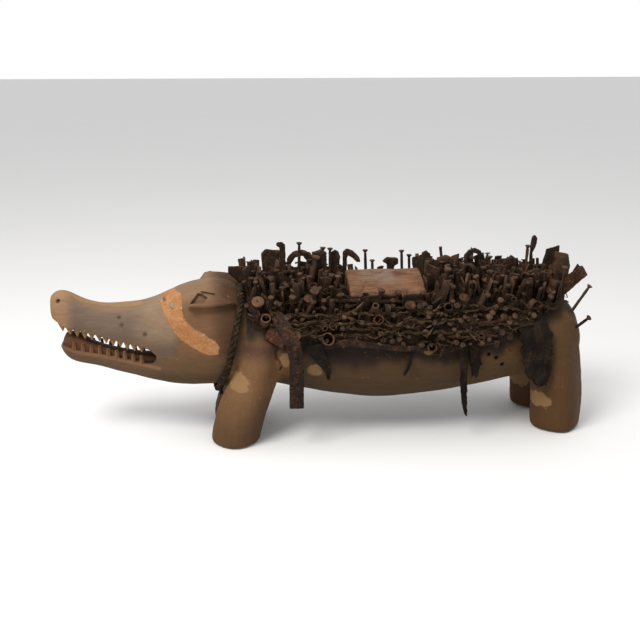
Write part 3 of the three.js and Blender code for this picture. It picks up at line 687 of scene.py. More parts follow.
def carveMarks(piece):
    bm = bmesh.new()
    bm.from_mesh(piece.data)
    bmesh.ops.smooth_vert(bm, verts=bm.verts, factor=0.5, use_axis_x=True, use_axis_y=True, use_axis_z=True)
    bm.normal_update()
    moves = []
    for vert in bm.verts:
        x, y, z = vert.co
        push = 0.55 * fractal((x * 0.45, y, z), 17, 2) + 1.1 * fractal((x * 0.6, y, z), 60, 2, 4)
        flat = Vector((x, z))
        for dent in dents:
            reach = (flat - Vector(dent["at"])).length / dent["radius"]
            if reach < 1:
                push -= dent["depth"] * (1 - reach * reach) ** 2
        if y < 0 and -100 < x < -70 and 130 < z < 195:
            near = distanceToLine(flat, crack["line"])
            push -= 2.4 * (1 - smooth(0.3, crack["width"], near))
        moves.append(vert.normal * push)
    for vert, move in zip(bm.verts, moves):
        vert.co += move
    bm.to_mesh(piece.data)
    bm.free()


# Old paint, bare wood, soot and wear, with painted shade in the mouth, the hollows and on the legs: a tone and four
# masks at every point of the carving
woodTones = {
    "nose": (172, 134, 101),
    "ridge": (150, 121, 96),
    "snout": (134, 114, 98),
    "snoutLow": (118, 96, 79),
    "snoutBack": (160, 134, 110),
    "skull": (150, 120, 94),
    "behind": (134, 98, 70),
    "collar": (92, 64, 43),
    "cheekLow": (120, 90, 62),
    "jaw": (124, 96, 73),
    "lip": (158, 116, 84),
    "throat": (104, 80, 56),
    # mouth: painted shade, the dark inside of the open mouth
    "mouth": (44, 29, 20),
    "tongue": (112, 76, 52),
    "upper": (170, 132, 92),
    "lower": (132, 96, 68),
    "trunk": (98, 73, 48),
    "belly": (92, 70, 45),
    "shoulder": (134, 90, 54),
    "knob": (98, 70, 54),
    "rear": (100, 74, 44),
    # foreLow and hindLeg are darker than foreLeg partly as painted shade, for light falling off towards the ground and
    # the rear
    "foreLeg": (138, 101, 68),
    "foreLow": (112, 82, 54),
    "hindLeg": (104, 73, 45),
    "stain": (34, 24, 16),
}
crescent = {
    "front": [(-262, 270), (-277, 260), (-279, 251), (-275, 238), (-264, 215), (-248, 194), (-225, 179), (-201, 167)],
    "back": [(-185, 168), (-182, 182), (-188, 193), (-207, 204), (-228, 216), (-239, 225), (-243, 240), (-243, 268)],
}
wornPatches = [((-20, 141), 30), ((179, 171), 22), ((-70, 158), 30), ((392, 60), 34), ((-150, 120), 40)]


# Distance in from the edge of an outline, negative outside it
def inside(point, outline):
    best = distanceToLine(point, outline + outline[:1])
    odd = False
    for a, b in zip(outline, outline[1:] + outline[:1]):
        if (a[1] > point.y) != (b[1] > point.y):
            if point.x < a[0] + (b[0] - a[0]) * (point.y - a[1]) / (b[1] - a[1]):
                odd = not odd
    return best if odd else -best


# Whether a point lies on one of the joined shapes
def onShape(shape, point):
    return shape.find_nearest(point, 0.15)[0] is not None


def blend(first, second, t):
    return [mix(a, b, t) for a, b in zip(first, second)]


def headTone(x, y, z, top, base):
    rise = (z - base) / (top - base)
    colour = blend(woodTones["snoutLow"], woodTones["snout"], smooth(0.45, 0.75, rise))
    colour = blend(colour, woodTones["snoutBack"], smooth(-345, -290, x) * smooth(0.4, 0.65, rise))
    colour = blend(colour, woodTones["ridge"], smooth(0.86, 0.97, rise) * smooth(-300, -330, x))
    colour = blend(colour, woodTones["nose"], smooth(-424, -446, x) * smooth(0.3, 0.5, rise))
    colour = blend(colour, woodTones["behind"], smooth(-262, -245, x))
    colour = blend(colour, woodTones["skull"], smooth(-272, -250, x) * smooth(0.84, 0.95, rise))
    colour = blend(colour, woodTones["collar"], smooth(-205, -165, x))
    colour = blend(colour, woodTones["cheekLow"], smooth(0.42, 0.3, rise) * smooth(-300, -260, x))
    jaw = smooth(6, -2, z - (lineHeight(lowerLip[:5], max(x, -455)) if x < -300 else 143 - 0.25 * (x + 300)))
    colour = blend(colour, woodTones["jaw"], jaw * smooth(-215, -262, x))
    colour = blend(colour, woodTones["throat"], smooth(0.25, 0.1, rise) * smooth(-330, -270, x))
    return colour


# Leg tones, partly painted shade: the fore leg darkens towards the ground and on its lower back side, and the hind leg
# is darker than the fore leg as the light falls off towards the rear; the rest is the wood's own colour
def legTone(x, y, z):
    if x < 100:
        colour = blend(woodTones["foreLow"], woodTones["foreLeg"], smooth(20, 110, z))
        middle = along(legs["fore"], z, 1)
        # Painted shade, in part: the lower back side of the fore leg is darkened with the belly's tone
        return blend(colour, woodTones["belly"], 0.55 * smooth(10, 40, x - middle) * smooth(110, 70, z))
    return woodTones["hindLeg"]


def paintWood(piece, mouthShapes):
    mesh = piece.data
    names = ("paint", "upright", "dirt", "bare")
    mesh.attributes.new("shade", "FLOAT_COLOR", "POINT")
    for name in names:
        mesh.attributes.new(name, "FLOAT", "POINT")
    shade = mesh.attributes["shade"]
    masks = {name: mesh.attributes[name] for name in names}
    outline = crescent["front"] + crescent["back"]
    for i, vert in enumerate(mesh.vertices):
        x, y, z = vert.co
        flat = Vector((x, z))
        top, base = trunkSection(x)[:2]
        half = jawHalfWidth(x, z)
        onLeg = 0.0
        if z < base + 90 and abs(abs(y) - legs["spread"]) < 50:
            if -210 < x < -60:
                r = Vector((x - along(legs["fore"], z, 1), abs(y) - legs["spread"])).length
                onLeg = smooth(8, -3, r - along(legs["fore"], z, 3) - 4) * smooth(205, 180, z)
            elif x > 360:
                onLeg = smooth(140, 110, z)
        colour = blend(woodTones["belly"], woodTones["trunk"], smooth(base + 10, base + 70, z))
        colour = blend(colour, woodTones["rear"], smooth(180, 290, x))
        colour = blend(colour, woodTones["shoulder"], smooth(-118, -98, x) * smooth(-38, -62, x) * smooth(105, 150, z))
        if x < -130:
            colour = blend(colour, headTone(x, y, z, top, base), smooth(-130, -150, x))
        colour = blend(colour, legTone(x, abs(y), z), onLeg)
        colour = blend(colour, woodTones["knob"], onLeg * smooth(150, 182, z))
        dirt = 0.0
        if -466 < x < -284:
            upper = lineHeight(upperLip, x) if x < -313 else 172
            lower = lineHeight(lowerLip[:5], x) if x > -458 else 176
            deep = half - abs(y)
            shape = next((s for s in ("upper", "lower", "tongue") if onShape(mouthShapes[s], vert.co)), None)
            if shape and lower - 4 < z < upper + 4:
                colour = woodTones[shape]
                if shape == "lower":
                    colour = blend(colour, woodTones["lip"], smooth(lower + 8, lower, z))
            elif lower - 1 < z < upper + 1.5 and deep > 1.6:
                # Painted shade: inside the open mouth, between the lips and set back from the face, the wood is made
                # dark and the hollows mask is raised
                colour = woodTones["mouth"]
                dirt = 0.5
            elif lower - 8 < z <= lower + 2:
                colour = blend(colour, woodTones["lip"], smooth(lower - 8, lower - 3, z))
        paint = -20.0
        if -300 < x < -160 and z > 140:
            paint = inside(flat, outline)
        if x > -150:
            edge = lineHeight(bedEdge, x)
            ragged = 13 * fractal((x, 0, 0), 26, 2, 3) + 22 * smooth(-60, 0, x) * smooth(140, 60, x)
            covered = smooth(-26 - ragged, -2 - ragged * 0.3, z - edge) * smooth(-150, -128, x)
            colour = blend(colour, woodTones["stain"], covered * (0.85 - 0.4 * onLeg))
        # Dirt and painted shade in the hollows: darker round the nail holes, in the dents and along the crack
        for hx, hz in nailHoles:
            dirt = max(dirt, smooth(5.5, 2.5, (flat - Vector((hx, hz))).length) * (y < 0))
        for dent in dents[:4]:
            dirt = max(dirt, 0.8 * smooth(dent["radius"], 1, (flat - Vector(dent["at"])).length))
        if -100 < x < -70 and 130 < z < 195 and y < 0:
            dirt = max(dirt, smooth(2.4, 0.6, distanceToLine(flat, crack["line"])))
        bare = 0.0
        for (px, pz), radius in wornPatches:
            bare = max(bare, smooth(radius, 0, (flat - Vector((px, pz))).length))
        bare = max(bare, smooth(7, 1, z), 0.8 * smooth(0.93, 1.0, (z - base) / (top - base)) * smooth(-290, -320, x))
        shade.data[i].color = (*tone(*colour), 1)
        for name, value in (("paint", paint), ("upright", onLeg), ("dirt", dirt), ("bare", bare)):
            masks[name].data[i].value = value


def woodMaterial():
    material, wire = newMaterial("oldCarvedWood")
    place = placeOf(wire)
    shade = wire.make("ShaderNodeAttribute", {"attribute_name": "shade"})
    upright = wire.attribute("upright")
    lengthwise = wire.noise(place, 5, 5, 0.6, (9, 1, 1), 0.3)
    standing = wire.noise(place, 5, 5, 0.6, (1, 1, 9), 0.3)
    grain = lengthwise + upright * (standing - lengthwise)
    mottle = wire.noise(place, 34, 4, 0.6, (1.6, 1, 1))
    speck = wire.noise(place, 4.2, 3, 0.7)
    patch = wire.noise(place, 14, 4, 0.65, (1.8, 1, 1), 0.4)
    value = 0.58 + 0.46 * grain + 0.34 * mottle + 0.08 * speck
    grey = wire.make("ShaderNodeCombineColor", None, {0: value, 1: value * 0.985, 2: value * 0.965})
    colour = wire.make(
        "ShaderNodeMix", {"data_type": "RGBA", "blend_type": "MULTIPLY"}, {0: 1.0, 6: shade, 7: grey}, out=2
    )
    # bare, rubbed wood shows through
    worn = (wire.attribute("bare") * 0.9 + patch * 0.75 + speck * 0.25).step(0.98, 1.12)
    colour = (worn * 0.75).tint(colour, tone(178, 140, 96))
    chips = (patch * 0.55 + speck * 0.6).step(0.705, 0.76)
    colour = (chips * 0.6).tint(colour, tone(186, 152, 112))
    # the painted crescent
    rim = wire.attribute("paint") + (patch * 9 - 4.5) + (speck * 6 - 3)
    cover = rim.step(-0.8, 0.8)
    ochre = (mottle * 0.6 + speck * 0.5).step(0.42, 0.68).tint(tone(214, 160, 112), tone(188, 124, 72))
    ochre = patch.step(0.6, 0.7).tint(ochre, tone(204, 178, 150))
    colour = (cover * (1 - (patch + speck * 0.5).step(0.93, 1.0) * 0.8)).tint(colour, ochre)
    # soot in the pores, and dirt with painted shade in the hollows: nail holes, dents, the crack and the open mouth
    pores = (grain * 0.7 + speck * 0.4).step(0.42, 0.3)
    sootAndShade = (pores * 0.45).most(wire.attribute("dirt"))
    colour = (sootAndShade * 0.88).tint(colour, tone(30, 20, 14))
    roughness = 0.62 + 0.2 * mottle - 0.12 * grain
    height = grain * 0.75 + speck * 0.3 + cover * 0.25 + mottle * 0.6
    closeMaterial(wire, colour, roughness, height, 1.1, 0.0, matt)
    return material


carvedWood = carvedBlank()
carveMarks(carvedWood)
mouthShapes = addMouth(carvedWood)
paintWood(carvedWood, mouthShapes)
carvedWood.data.set_sharp_from_angle(angle=math.radians(42))
handOver(carvedWood, [woodMaterial()], ["carved_pig"])


# The bed of driven irons: crust, nails, blades, rolled tubes and strips
crust = {"thick": 12, "lump": 7, "under": 7, "step": 3.4, "around": 3.6}
beds = {
    "ironBedFront": {"node": "iron_bed_front", "from": -134, "to": 43, "side": 0, "seed": 21},
    "ironBedRear": {"node": "iron_bed_rear", "from": 182, "to": 455, "side": 0, "seed": 22},
    "ironBedLeft": {"node": "iron_bed_left", "from": 44, "to": 181, "side": -1, "seed": 23},
    "ironBedRight": {"node": "iron_bed_right", "from": 44, "to": 181, "side": 1, "seed": 24},
}
block = {"x": 112, "length": 134, "half": 66, "ridge": 292, "eaves": 264, "foot": 205, "edge": 6}


# Angle at which the trunk is as wide as the block
def blockAngle(x):
    low, high = 0.0, math.pi / 2
    for _ in range(20):
        middle = (low + high) / 2
        if abs(trunkPoint(x, middle, crust["thick"]).y) < block["half"] + 3:
            low = middle
        else:
            high = middle
    return low


def addCrust(bm, bed):
    count = round((bed["to"] - bed["from"]) / crust["step"])
    low, high = trunkRows[0][0], trunkRows[-1][0]
    rings = []
    for i in range(count + 1):
        x = mix(bed["from"], bed["to"], i / count)
        last = sideAngle(x, lineHeight(bedEdge, x) + 3 * fractal((x, 0, 0), 14, 2, 5))
        first = -last if bed["side"] == 0 else blockAngle(x)
        sides = round((2 * 1.4 if bed["side"] == 0 else 0.75) * 100 / crust["around"])
        ends = min(smooth(-140, -120, x), smooth(464, 446, x)) if bed["side"] == 0 else 1
        outer, inner = [], []
        for k in range(sides + 1):
            angle = mix(first, last, k / sides)
            if bed["side"] > 0:
                angle = -angle
            rim = 1 - max(0, abs(angle) - abs(last) + 0.22) / 0.22
            spot = trunkPoint(x, angle)
            lump = crust["lump"] * fractal(spot, 21, 3, 8) + 2.2 * fractal(spot, 6, 2, 9)
            grow = (crust["thick"] + lump) * smooth(0, 1, rim) * ends - 1.0
            outer.append(trunkPoint(x, angle, max(grow, -1.5)))
            inner.append(trunkPoint(x, angle, -crust["under"]))
        rings.append(outer + inner[::-1])
    loft(bm, rings)
    bmesh.ops.recalc_face_normals(bm, faces=bm.faces)


# One iron is made standing on the origin, then set in its place
def shaft(iron, rows, sides, phase=0.0):
    rings = []
    for z, cx, cy, wide, deep, turn in rows:
        ring = []
        for k in range(sides):
            a = 2 * math.pi * (k + 0.5) / sides + phase
            p, q = wide * math.cos(a), deep * math.sin(a)
            ring.append(Vector((cx + p * math.cos(turn) - q * math.sin(turn), cy + p * math.sin(turn) + q * math.cos(turn), z)))
        rings.append(ring)
    loft(iron, rings)


def wireNail(iron, length, draw):
    r = draw.uniform(1.5, 2.3)
    head = draw.uniform(4.2, 6.2)
    bend = draw.uniform(-2.5, 2.5)
    tip = draw.uniform(-1, 1)
    rows = [(-10, 0, 0, r, r, 0), (length * 0.5, bend * 0.4, 0, r * 0.95, r, 0)]
    rows += [(length - 3.5, bend, tip, r, r, 0), (length - 1.8, bend, tip, head * 0.55, head * 0.55, 0)]
    rows += [(length - 1.6, bend, tip, head, head * 0.96, 0), (length - 0.2, bend, tip, head * 0.96, head * 0.94, 0)]
    rows += [(length + 0.4, bend, tip, head * 0.6, head * 0.6, 0)]
    shaft(iron, rows, 8)


def forgedNail(iron, length, draw):
    r = draw.uniform(2.6, 4.2)
    head = r * draw.uniform(1.5, 2.3)
    bend = draw.uniform(-4, 4)
    turn = draw.uniform(0, 1.5)
    tall = draw.uniform(2.5, 5)
    rows = [(-10, 0, 0, r * 1.3, r * 1.1, turn), (length * 0.45, bend * 0.3, 0, r * 1.25, r * 1.05, turn)]
    rows += [(length - tall - 2, bend, 0, r * 1.1, r, turn + 0.2), (length - tall, bend, 0, head, head * 0.85, turn)]
    rows += [(length - 1, bend, 0, head * 0.95, head * 0.9, turn), (length, bend + 0.4, 0.3, head * 0.55, head * 0.6, turn)]
    shaft(iron, rows, 6)


def peg(iron, length, draw):
    r = draw.uniform(2.8, 5.2)
    bend = draw.uniform(-3, 3)
    rows = [(-10, 0, 0, r * 1.1, r, 0), (length * 0.55, bend * 0.4, 0, r * 1.05, r * 0.95, 0.2)]
    rows += [(length - 1.5, bend, 0, r, r * 0.9, 0.3), (length, bend, 0, r * 0.72, r * 0.66, 0.3)]
    shaft(iron, rows, 8)


def bladeIron(iron, length, draw):
    wide = draw.uniform(4.5, 11)
    deep = draw.uniform(1.1, 2.4)
    flare = draw.choice((0.85, 1.0, 1.0, 1.2, 1.45))
    slant = draw.uniform(-0.45, 0.45)
    turn = draw.uniform(-0.25, 0.25)
    lean = draw.uniform(-4, 4)
    rows = []
    for step in range(6):
        t = step / 5
        w = wide * mix(1, flare, t) * draw.uniform(0.9, 1.08)
        rows.append((mix(-10, length, t), lean * t * t, draw.uniform(-0.5, 0.5), w, deep, turn * t))
    shaft(iron, rows, 8, math.pi / 8)
    top = length - 0.5
    for vert in iron.verts:
        if vert.co.z > top:
            vert.co.z += slant * vert.co.x + draw.uniform(-0.8, 0.8)


def rolledTube(iron, length, draw):
    r = draw.uniform(5, 9)
    wall = draw.uniform(1.2, 1.8)
    gap = draw.uniform(0.15, 0.7)
    flat = draw.uniform(0.75, 1.0)
    rings = []
    for t in (0.0, 0.5, 1.0):
        ring = []
        for radius, order in ((r, range(13)), (r - wall, range(12, -1, -1))):
            for k in order:
                a = mix(gap / 2, 2 * math.pi - gap / 2, k / 12)
                ring.append(Vector((radius * math.cos(a), flat * radius * math.sin(a), mix(-8, length, t))))
        rings.append(ring)
    loft(iron, rings)


# A strip bent over in the X and Z plane
def strip(iron, path, wide, deep):
    rings = []
    for i, (x, z) in enumerate(path):
        a = Vector(path[max(i - 1, 0)])
        b = Vector(path[min(i + 1, len(path) - 1)])
        way = (b - a).normalized()
        out = Vector((way.y, 0, -way.x)) * deep / 2
        mid = Vector((x, 0, z))
        side = Vector((0, wide / 2, 0))
        rings.append([mid + out + side, mid + out - side, mid - out - side, mid - out + side])
    loft(iron, rings)


def bentStrip(iron, length, draw):
    turn = draw.uniform(0.6, 1.15) * math.pi
    radius = draw.uniform(4, 10)
    path = [(0, -8), (0, length * 0.4), (0, length - radius)]
    for k in range(1, 7):
        a = turn * k / 6
        path.append((radius * (1 - math.cos(a)), length - radius + radius * math.sin(a)))
    strip(iron, path, draw.uniform(4, 9), draw.uniform(1.6, 2.6))


def hookNail(iron, length, draw):
    reach = draw.uniform(6, 14)
    path = [(0, -8), (0, length * 0.6), (draw.uniform(0, 2), length - 3), (reach * 0.5, length), (reach, length - 1)]
    strip(iron, path, draw.uniform(2.6, 4), draw.uniform(2.4, 3.4))


ironKinds = {
    "top": [(forgedNail, 20), (bladeIron, 34), (wireNail, 14), (peg, 9), (rolledTube, 7), (bentStrip, 9), (hookNail, 6)],
    "flank": [(forgedNail, 20), (wireNail, 24), (peg, 20), (bladeIron, 16), (rolledTube, 5), (bentStrip, 9), (hookNail, 6)],
}


def addIron(bm, kind, spot, way, length, draw):
    iron = bmesh.new()
    kind(iron, length, draw)
    bmesh.ops.recalc_face_normals(iron, faces=iron.faces)
    toneLayer = iron.verts.layers.float.new("tone")
    headLayer = iron.verts.layers.float.new("head")
    level = draw.random()
    for vert in iron.verts:
        vert[toneLayer] = level
        vert[headLayer] = smooth(length - 7, length - 1, vert.co.z)
    turn = way.to_track_quat("Z", "Y").to_matrix().to_4x4() @ Matrix.Rotation(draw.uniform(0, 6.28), 4, "Z")
    bmesh.ops.transform(iron, matrix=Matrix.Translation(spot) @ turn, verts=iron.verts)
    addTo(bm, iron)


# How far the irons stand out: long on the back, short on the flanks
def ironReach(x, angle, draw):
    turned = abs(angle)
    top = 50 + 9 * fractal((x, 0, 0), 45, 2, 2)
    top *= mix(1, 0.8, smooth(0, 36, x) * smooth(60, 40, x))
    flank = draw.choice((9, 12, 15, 19, 24))
    reach = mix(top * draw.uniform(0.62, 1.12), flank, smooth(0.62, 1.0, turned))
    if draw.random() < 0.06 and turned < 0.6:
        reach *= 1.3
    return reach


def setIrons(bm, bed):
    draw = random.Random(bed["seed"])
    spacing = 12.5
    x = bed["from"] + 6
    row = 0
    while x < bed["to"] - 3:
        last = sideAngle(x, lineHeight(bedEdge, x)) - 0.06
        first = -last if bed["side"] == 0 else blockAngle(x) + 0.04
        arc = (last - first) * 92
        count = max(2, round(arc / spacing))
        for k in range(count):
            angle = mix(first, last, (k + 0.5 * (row % 2)) / count) + draw.uniform(-0.05, 0.05)
            if bed["side"] > 0:
                angle = -angle
            at = min(max(x + draw.uniform(-5, 5), bed["from"] + 3), bed["to"] - 4)
            spot = trunkPoint(at, angle, 2)
            out = trunkNormal(at, angle)
            flank = smooth(0.55, 0.95, abs(angle))
            way = (out * mix(0.45, 1, flank) + Vector((0, 0, mix(0.6, 0.05, flank)))).normalized()
            way += Vector((draw.gauss(0, 0.13), draw.gauss(0, 0.1), draw.gauss(0, 0.08)))
            if at > 420:
                way += Vector((0.55 * smooth(420, 455, at), 0, 0))
            reach = ironReach(at, angle, draw)
            kinds = ironKinds["flank" if flank > 0.5 else "top"]
            kind = draw.choices([k for k, _ in kinds], [w for _, w in kinds])[0]
            way.normalize()
            limit = (128 - abs(spot.y)) / max(abs(way.y), 0.01)
            addIron(bm, kind, spot, way, min(reach + 4, limit), draw)
        x += spacing * 0.93
        row += 1


def ironMaterial(name, dark, middle, light, rust):
    material, wire = newMaterial(name)
    place = placeOf(wire)
    level = wire.attribute("tone")
    head = wire.attribute("head")
    grit = wire.noise(place, 3.2, 4, 0.65)
    cloud = wire.noise(place, 15, 4, 0.6)
    fine = wire.noise(place, 1.3, 2, 0.6)
    colour = (cloud * 0.5 + grit * 0.5).step(0.34, 0.64).tint(dark, middle)
    colour = (level.step(0.55, 1.0) * 0.55).tint(colour, light)
    colour = ((grit + cloud * 0.6).step(0.86, 0.98) * 0.75).tint(colour, rust)
    colour = (head * (0.25 + 0.5 * level) * (grit + cloud).step(0.75, 1.15)).tint(colour, light)
    colour = ((fine * 0.6 + cloud * 0.5).step(0.5, 0.36) * 0.7).tint(colour, tone(13, 9, 7))
    roughness = 0.78 - 0.22 * (grit * level)
    closeMaterial(wire, colour, roughness, grit * 0.7 + fine * 0.3, 1.0, 0.0, matt)
    return material


blackIron = ironMaterial("blackIron", tone(34, 23, 16), tone(64, 45, 31), tone(112, 86, 66), tone(112, 66, 36))
crustPaste = ironMaterial("crustPaste", tone(24, 16, 11), tone(54, 38, 25), tone(84, 64, 44), tone(92, 56, 30))

for name, bed in beds.items():
    bm = bmesh.new()
    addCrust(bm, bed)
    bm.faces.ensure_lookup_table()
    crustFaces = len(bm.faces)
    setIrons(bm, bed)
    piece = newPiece(bm, name)
    for face in piece.data.polygons:
        face.material_index = 1 if face.index < crustFaces else 0
    piece.data.set_sharp_from_angle(angle=math.radians(40))
    handOver(piece, [blackIron, crustPaste], [bed["node"]])


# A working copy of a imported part's mesh, in millimetres
def copyOf(node):
    bm = bmesh.new()
    bm.from_mesh(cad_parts[node].data)
    bmesh.ops.transform(bm, matrix=toFrame.inverted(), verts=bm.verts)
    bmesh.ops.remove_doubles(bm, verts=bm.verts, dist=0.02)
    return bm


# Pits and waves pushed into a mesh, with the level of its rust
def weather(bm, deep, size, level, seed):
    toneLayer = bm.verts.layers.float.get("tone") or bm.verts.layers.float.new("tone")
    bm.normal_update()
    moves = []
    for vert in bm.verts:
        wave = fractal(vert.co, size, 3, seed)
        pit = fractal(vert.co, size / 4, 2, seed + 1)
        moves.append(vert.normal * deep * (0.8 * wave + 0.5 * pit))
        vert[toneLayer] = level + 0.25 * wave
    for vert, move in zip(bm.verts, moves):
        vert.co += move


def worked(bm, name, voxel, deep, size, level, seed, grain=None):
    piece = newPiece(bm, name)
    remesh(piece, voxel)
    own = bmesh.new()
    own.from_mesh(piece.data)
    bmesh.ops.smooth_vert(own, verts=own.verts, factor=0.5, use_axis_x=True, use_axis_y=True, use_axis_z=True)
    if grain:
        grain(own)
    weather(own, deep, size, level, seed)
    own.to_mesh(piece.data)
    own.free()
    return piece


# Iron plates, blades and bars that were hammered in or caught in the bed
ironWork = {
    "wedgeBlade": ("wedge_blade", 1.4, 0.7, 0.35),
    "shoulderPlate": ("shoulder_plate", 1.6, 0.9, 0.4),
    "curledSlab": ("curled_slab", 1.6, 0.9, 0.3),
    "archedPlate": ("arched_plate", 1.6, 0.9, 0.75),
    "rustBlock": ("rust_block", 2.0, 1.4, 0.6),
    "roundBlade": ("round_blade", 1.5, 0.7, 0.3),
    "bentBlade": ("bent_blade", 1.6, 0.8, 0.25),
    "squareIron": ("square_iron", 1.8, 0.9, 0.2),
    "rearSlabTall": ("rear_slab_tall", 1.7, 1.0, 0.5),
    "rearSlabBroad": ("rear_slab_broad", 2.0, 1.2, 0.7),
    "bentArch": ("bent_arch", 1.6, 0.8, 0.5),
    "rumpLump": ("rump_lump", 2.0, 1.6, 0.6),
    "spoonSpike": ("spoon_spike", 1.5, 0.6, 0.6),
    "darkBlade": ("dark_blade", 1.6, 0.8, 0.2),
    "greyPlate": ("grey_plate", 1.5, 0.8, 0.85),
    "longRod": ("long_rod", 1.4, 0.8, 0.5),
    "bowedStrip": ("bowed_strip", 1.3, 0.6, 0.6),
}
rustWork = {
    "rumpBlade": ("rump_blade", 1.3, 0.6, 0.6),
    "redPlate": ("red_plate", 1.4, 0.8, 0.3),
    "splitStick": ("split_stick", 1.4, 0.9, 0.7),
    "thinBar": ("thin_bar", 1.2, 0.5, 0.5),
}
redRust = ironMaterial("redRust", tone(40, 24, 15), tone(86, 56, 36), tone(132, 96, 68), tone(134, 80, 44))

for group, paint, slotName in ((ironWork, blackIron, "iron"), (rustWork, redRust, "rust")):
    for seed, (name, (node, voxel, deep, level)) in enumerate(group.items()):
        piece = worked(copyOf(node), name, voxel, deep, 11, level, 30 + seed)
        handOver(piece, [paint], [node])


# Nails that stand clear, with their funnel heads, and the round heads and rolled tubes on the flank
def heroIron(name, node, kind, root, tip, sizes, paint, seed):
    draw = random.Random(seed)
    iron = bmesh.new()
    way = Vector(tip) - Vector(root)
    kind(iron, way.length, sizes, draw)
    bmesh.ops.recalc_face_normals(iron, faces=iron.faces)
    headLayer = iron.verts.layers.float.new("head")
    for vert in iron.verts:
        vert[headLayer] = smooth(way.length - 7, way.length - 2, vert.co.z)
    weather(iron, sizes.get("rough", 0.4), 6, draw.random(), seed)
    turn = way.to_track_quat("Z", "Y").to_matrix().to_4x4()
    bmesh.ops.transform(iron, matrix=Matrix.Translation(Vector(root)) @ turn, verts=iron.verts)
    piece = newPiece(iron, name)
    piece.data.set_sharp_from_angle(angle=math.radians(48))
    handOver(piece, [paint], [node])


def funnelNail(iron, length, sizes, draw):
    r, head = sizes["radius"], sizes["head"]
    sway = draw.uniform(-1.2, 1.2)
    rows = []
    for step in range(9):
        t = step / 8
        rows.append((mix(0, length - 7, t), sway * math.sin(3 * t), 0, r * draw.uniform(0.9, 1.1), r, 0.2 * step))
    rows += [(length - 4.5, 0, 0, r * 1.15, r * 1.1, 0), (length - 2.4, 0, 0, head * 0.8, head * 0.78, 0)]
    rows += [(length - 1.8, 0, 0, head, head * 0.97, 0), (length - 0.5, 0, 0, head * 0.97, head, 0)]
    rows += [(length, 0, 0, head * 0.7, head * 0.7, 0)]
    shaft(iron, rows, 12)


def roundHead(iron, length, sizes, draw):
    r, head = sizes["radius"], sizes["head"]
    rows = [(0, 0, 0, r, r, 0), (length * 0.5, 0, 0, r, r, 0), (length - 4.4, 0, 0, r, r, 0)]
    rows += [(length - 4, 0, 0, head * 0.92, head * 0.9, 0), (length - 2, 0, 0, head, head * 0.97, 0)]
    rows += [(length - 0.8, 0, 0, head * 0.96, head * 0.94, 0), (length, 0, 0, head * 0.8, head * 0.78, 0)]
    rows += [(length - 0.3, 0, 0, head * 0.34, head * 0.34, 0), (length - 1.3, 0, 0, head * 0.14, head * 0.14, 0)]
    shaft(iron, rows, 20)


def openTube(iron, length, sizes, draw):
    radius = sizes["radius"]
    rings = []
    for inset, depth in ((1.0, 0), (1.0, 0.5), (1.02, 0.98), (0.94, 1.0), (0.78, 0.99), (0.74, 0.5), (0.7, 0.3)):
        ring = []
        for k in range(22):
            a = 2 * math.pi * k / 22
            dent = 1 + 0.05 * math.cos(2 * a + sizes["phase"]) + 0.05 * sizes["square"] * math.cos(4 * a)
            r = radius * inset * dent
            ring.append(Vector((r * math.cos(a), r * math.sin(a), length * depth)))
        rings.append(ring)
    loft(iron, rings)


tallNails = {
    "tallNail1": ("tall_nail_1", (-38, -4, 246), (-37, -4, 346)),
    "tallNail2": ("tall_nail_2", (6, 16, 246), (7, 16, 332)),
    "tallNail3": ("tall_nail_3", (14, -12, 246), (16, -14, 337)),
    "tallNail4": ("tall_nail_4", (98, 78, 208), (94, 76, 312)),
    "tallNail5": ("tall_nail_5", (110, 80, 206), (108, 78, 292)),
    "tallNail6": ("tall_nail_6", (170, 80, 206), (163, 77, 309)),
    "tallNail7": ("tall_nail_7", (178, 76, 210), (177, 74, 301)),
    "tallNail8": ("tall_nail_8", (310, 2, 242), (309, 0, 311)),
    "tallNail9": ("tall_nail_9", (372, -8, 242), (376, -8, 331)),
    "rumpNail1": ("rump_nail_1", (436, -52, 196), (472, -70, 269)),
    "rumpNail2": ("rump_nail_2", (440, -60, 176), (466, -92, 217)),
}
for seed, (name, (node, root, tip)) in enumerate(tallNails.items()):
    heroIron(name, node, funnelNail, root, tip, {"radius": 2.6, "head": 5.2}, blackIron, 50 + seed)

flankHeads = [(-115, 263, 38, 11), (-28, 266, 38, 9.5), (143, 253, 38, 9.5), (240, 261, 38, 9), (291, 281, 38, 8.5)]
flankHeads.append((399, 264, 36, 9))
flankTubes = [(-103, 237, 32, 8), (-1, 205, 32, 11), (87, 232, 32, 9), (178, 182, 24, 7.5)]


# Angle at which an iron that stands out by so much ends at a height
def outerAngle(x, z, out):
    low, high = 0.0, math.pi * 0.8
    for _ in range(24):
        middle = (low + high) / 2
        if (trunkPoint(x, middle) + trunkNormal(x, middle) * out).z > z:
            low = middle
        else:
            high = middle
    return low


for group, kind, word, node in (
    (flankHeads, roundHead, "roundHead", "round_head_"), (flankTubes, openTube, "rolledTube", "tube_")
):
    for i, (x, z, out, size) in enumerate(group):
        angle = outerAngle(x, z, out)
        normal = trunkNormal(x, angle)
        root = trunkPoint(x, angle) - normal * 6
        sizes = {"radius": size if kind is openTube else 4, "head": size, "phase": i * 2.0, "square": i == 2}
        tip = trunkPoint(x, angle) + normal * out
        heroIron(f"{word}{i + 1}", f"{node}{i + 1}", kind, root, tip, sizes, redRust, 70 + i)


# The wooden block let into the back
def blockGrain(bm):
    splitAt = (block["x"] - 37, -42)
    for vert in bm.verts:
        x, y, z = vert.co
        near = abs((x - splitAt[0]) - (y - splitAt[1]) * 0.55)
        if z > 255 and -66 < y < -28:
            vert.co.z -= 3.4 * (1 - smooth(0.4, 2.6, near)) * smooth(-28, -34, y)
        vert.co.z += 0.9 * fractal((x / 7, y, z), 7, 3, 60) - 1.2 * smooth(0.25, 0.6, fractal((x / 3, y, z), 14, 2, 61))


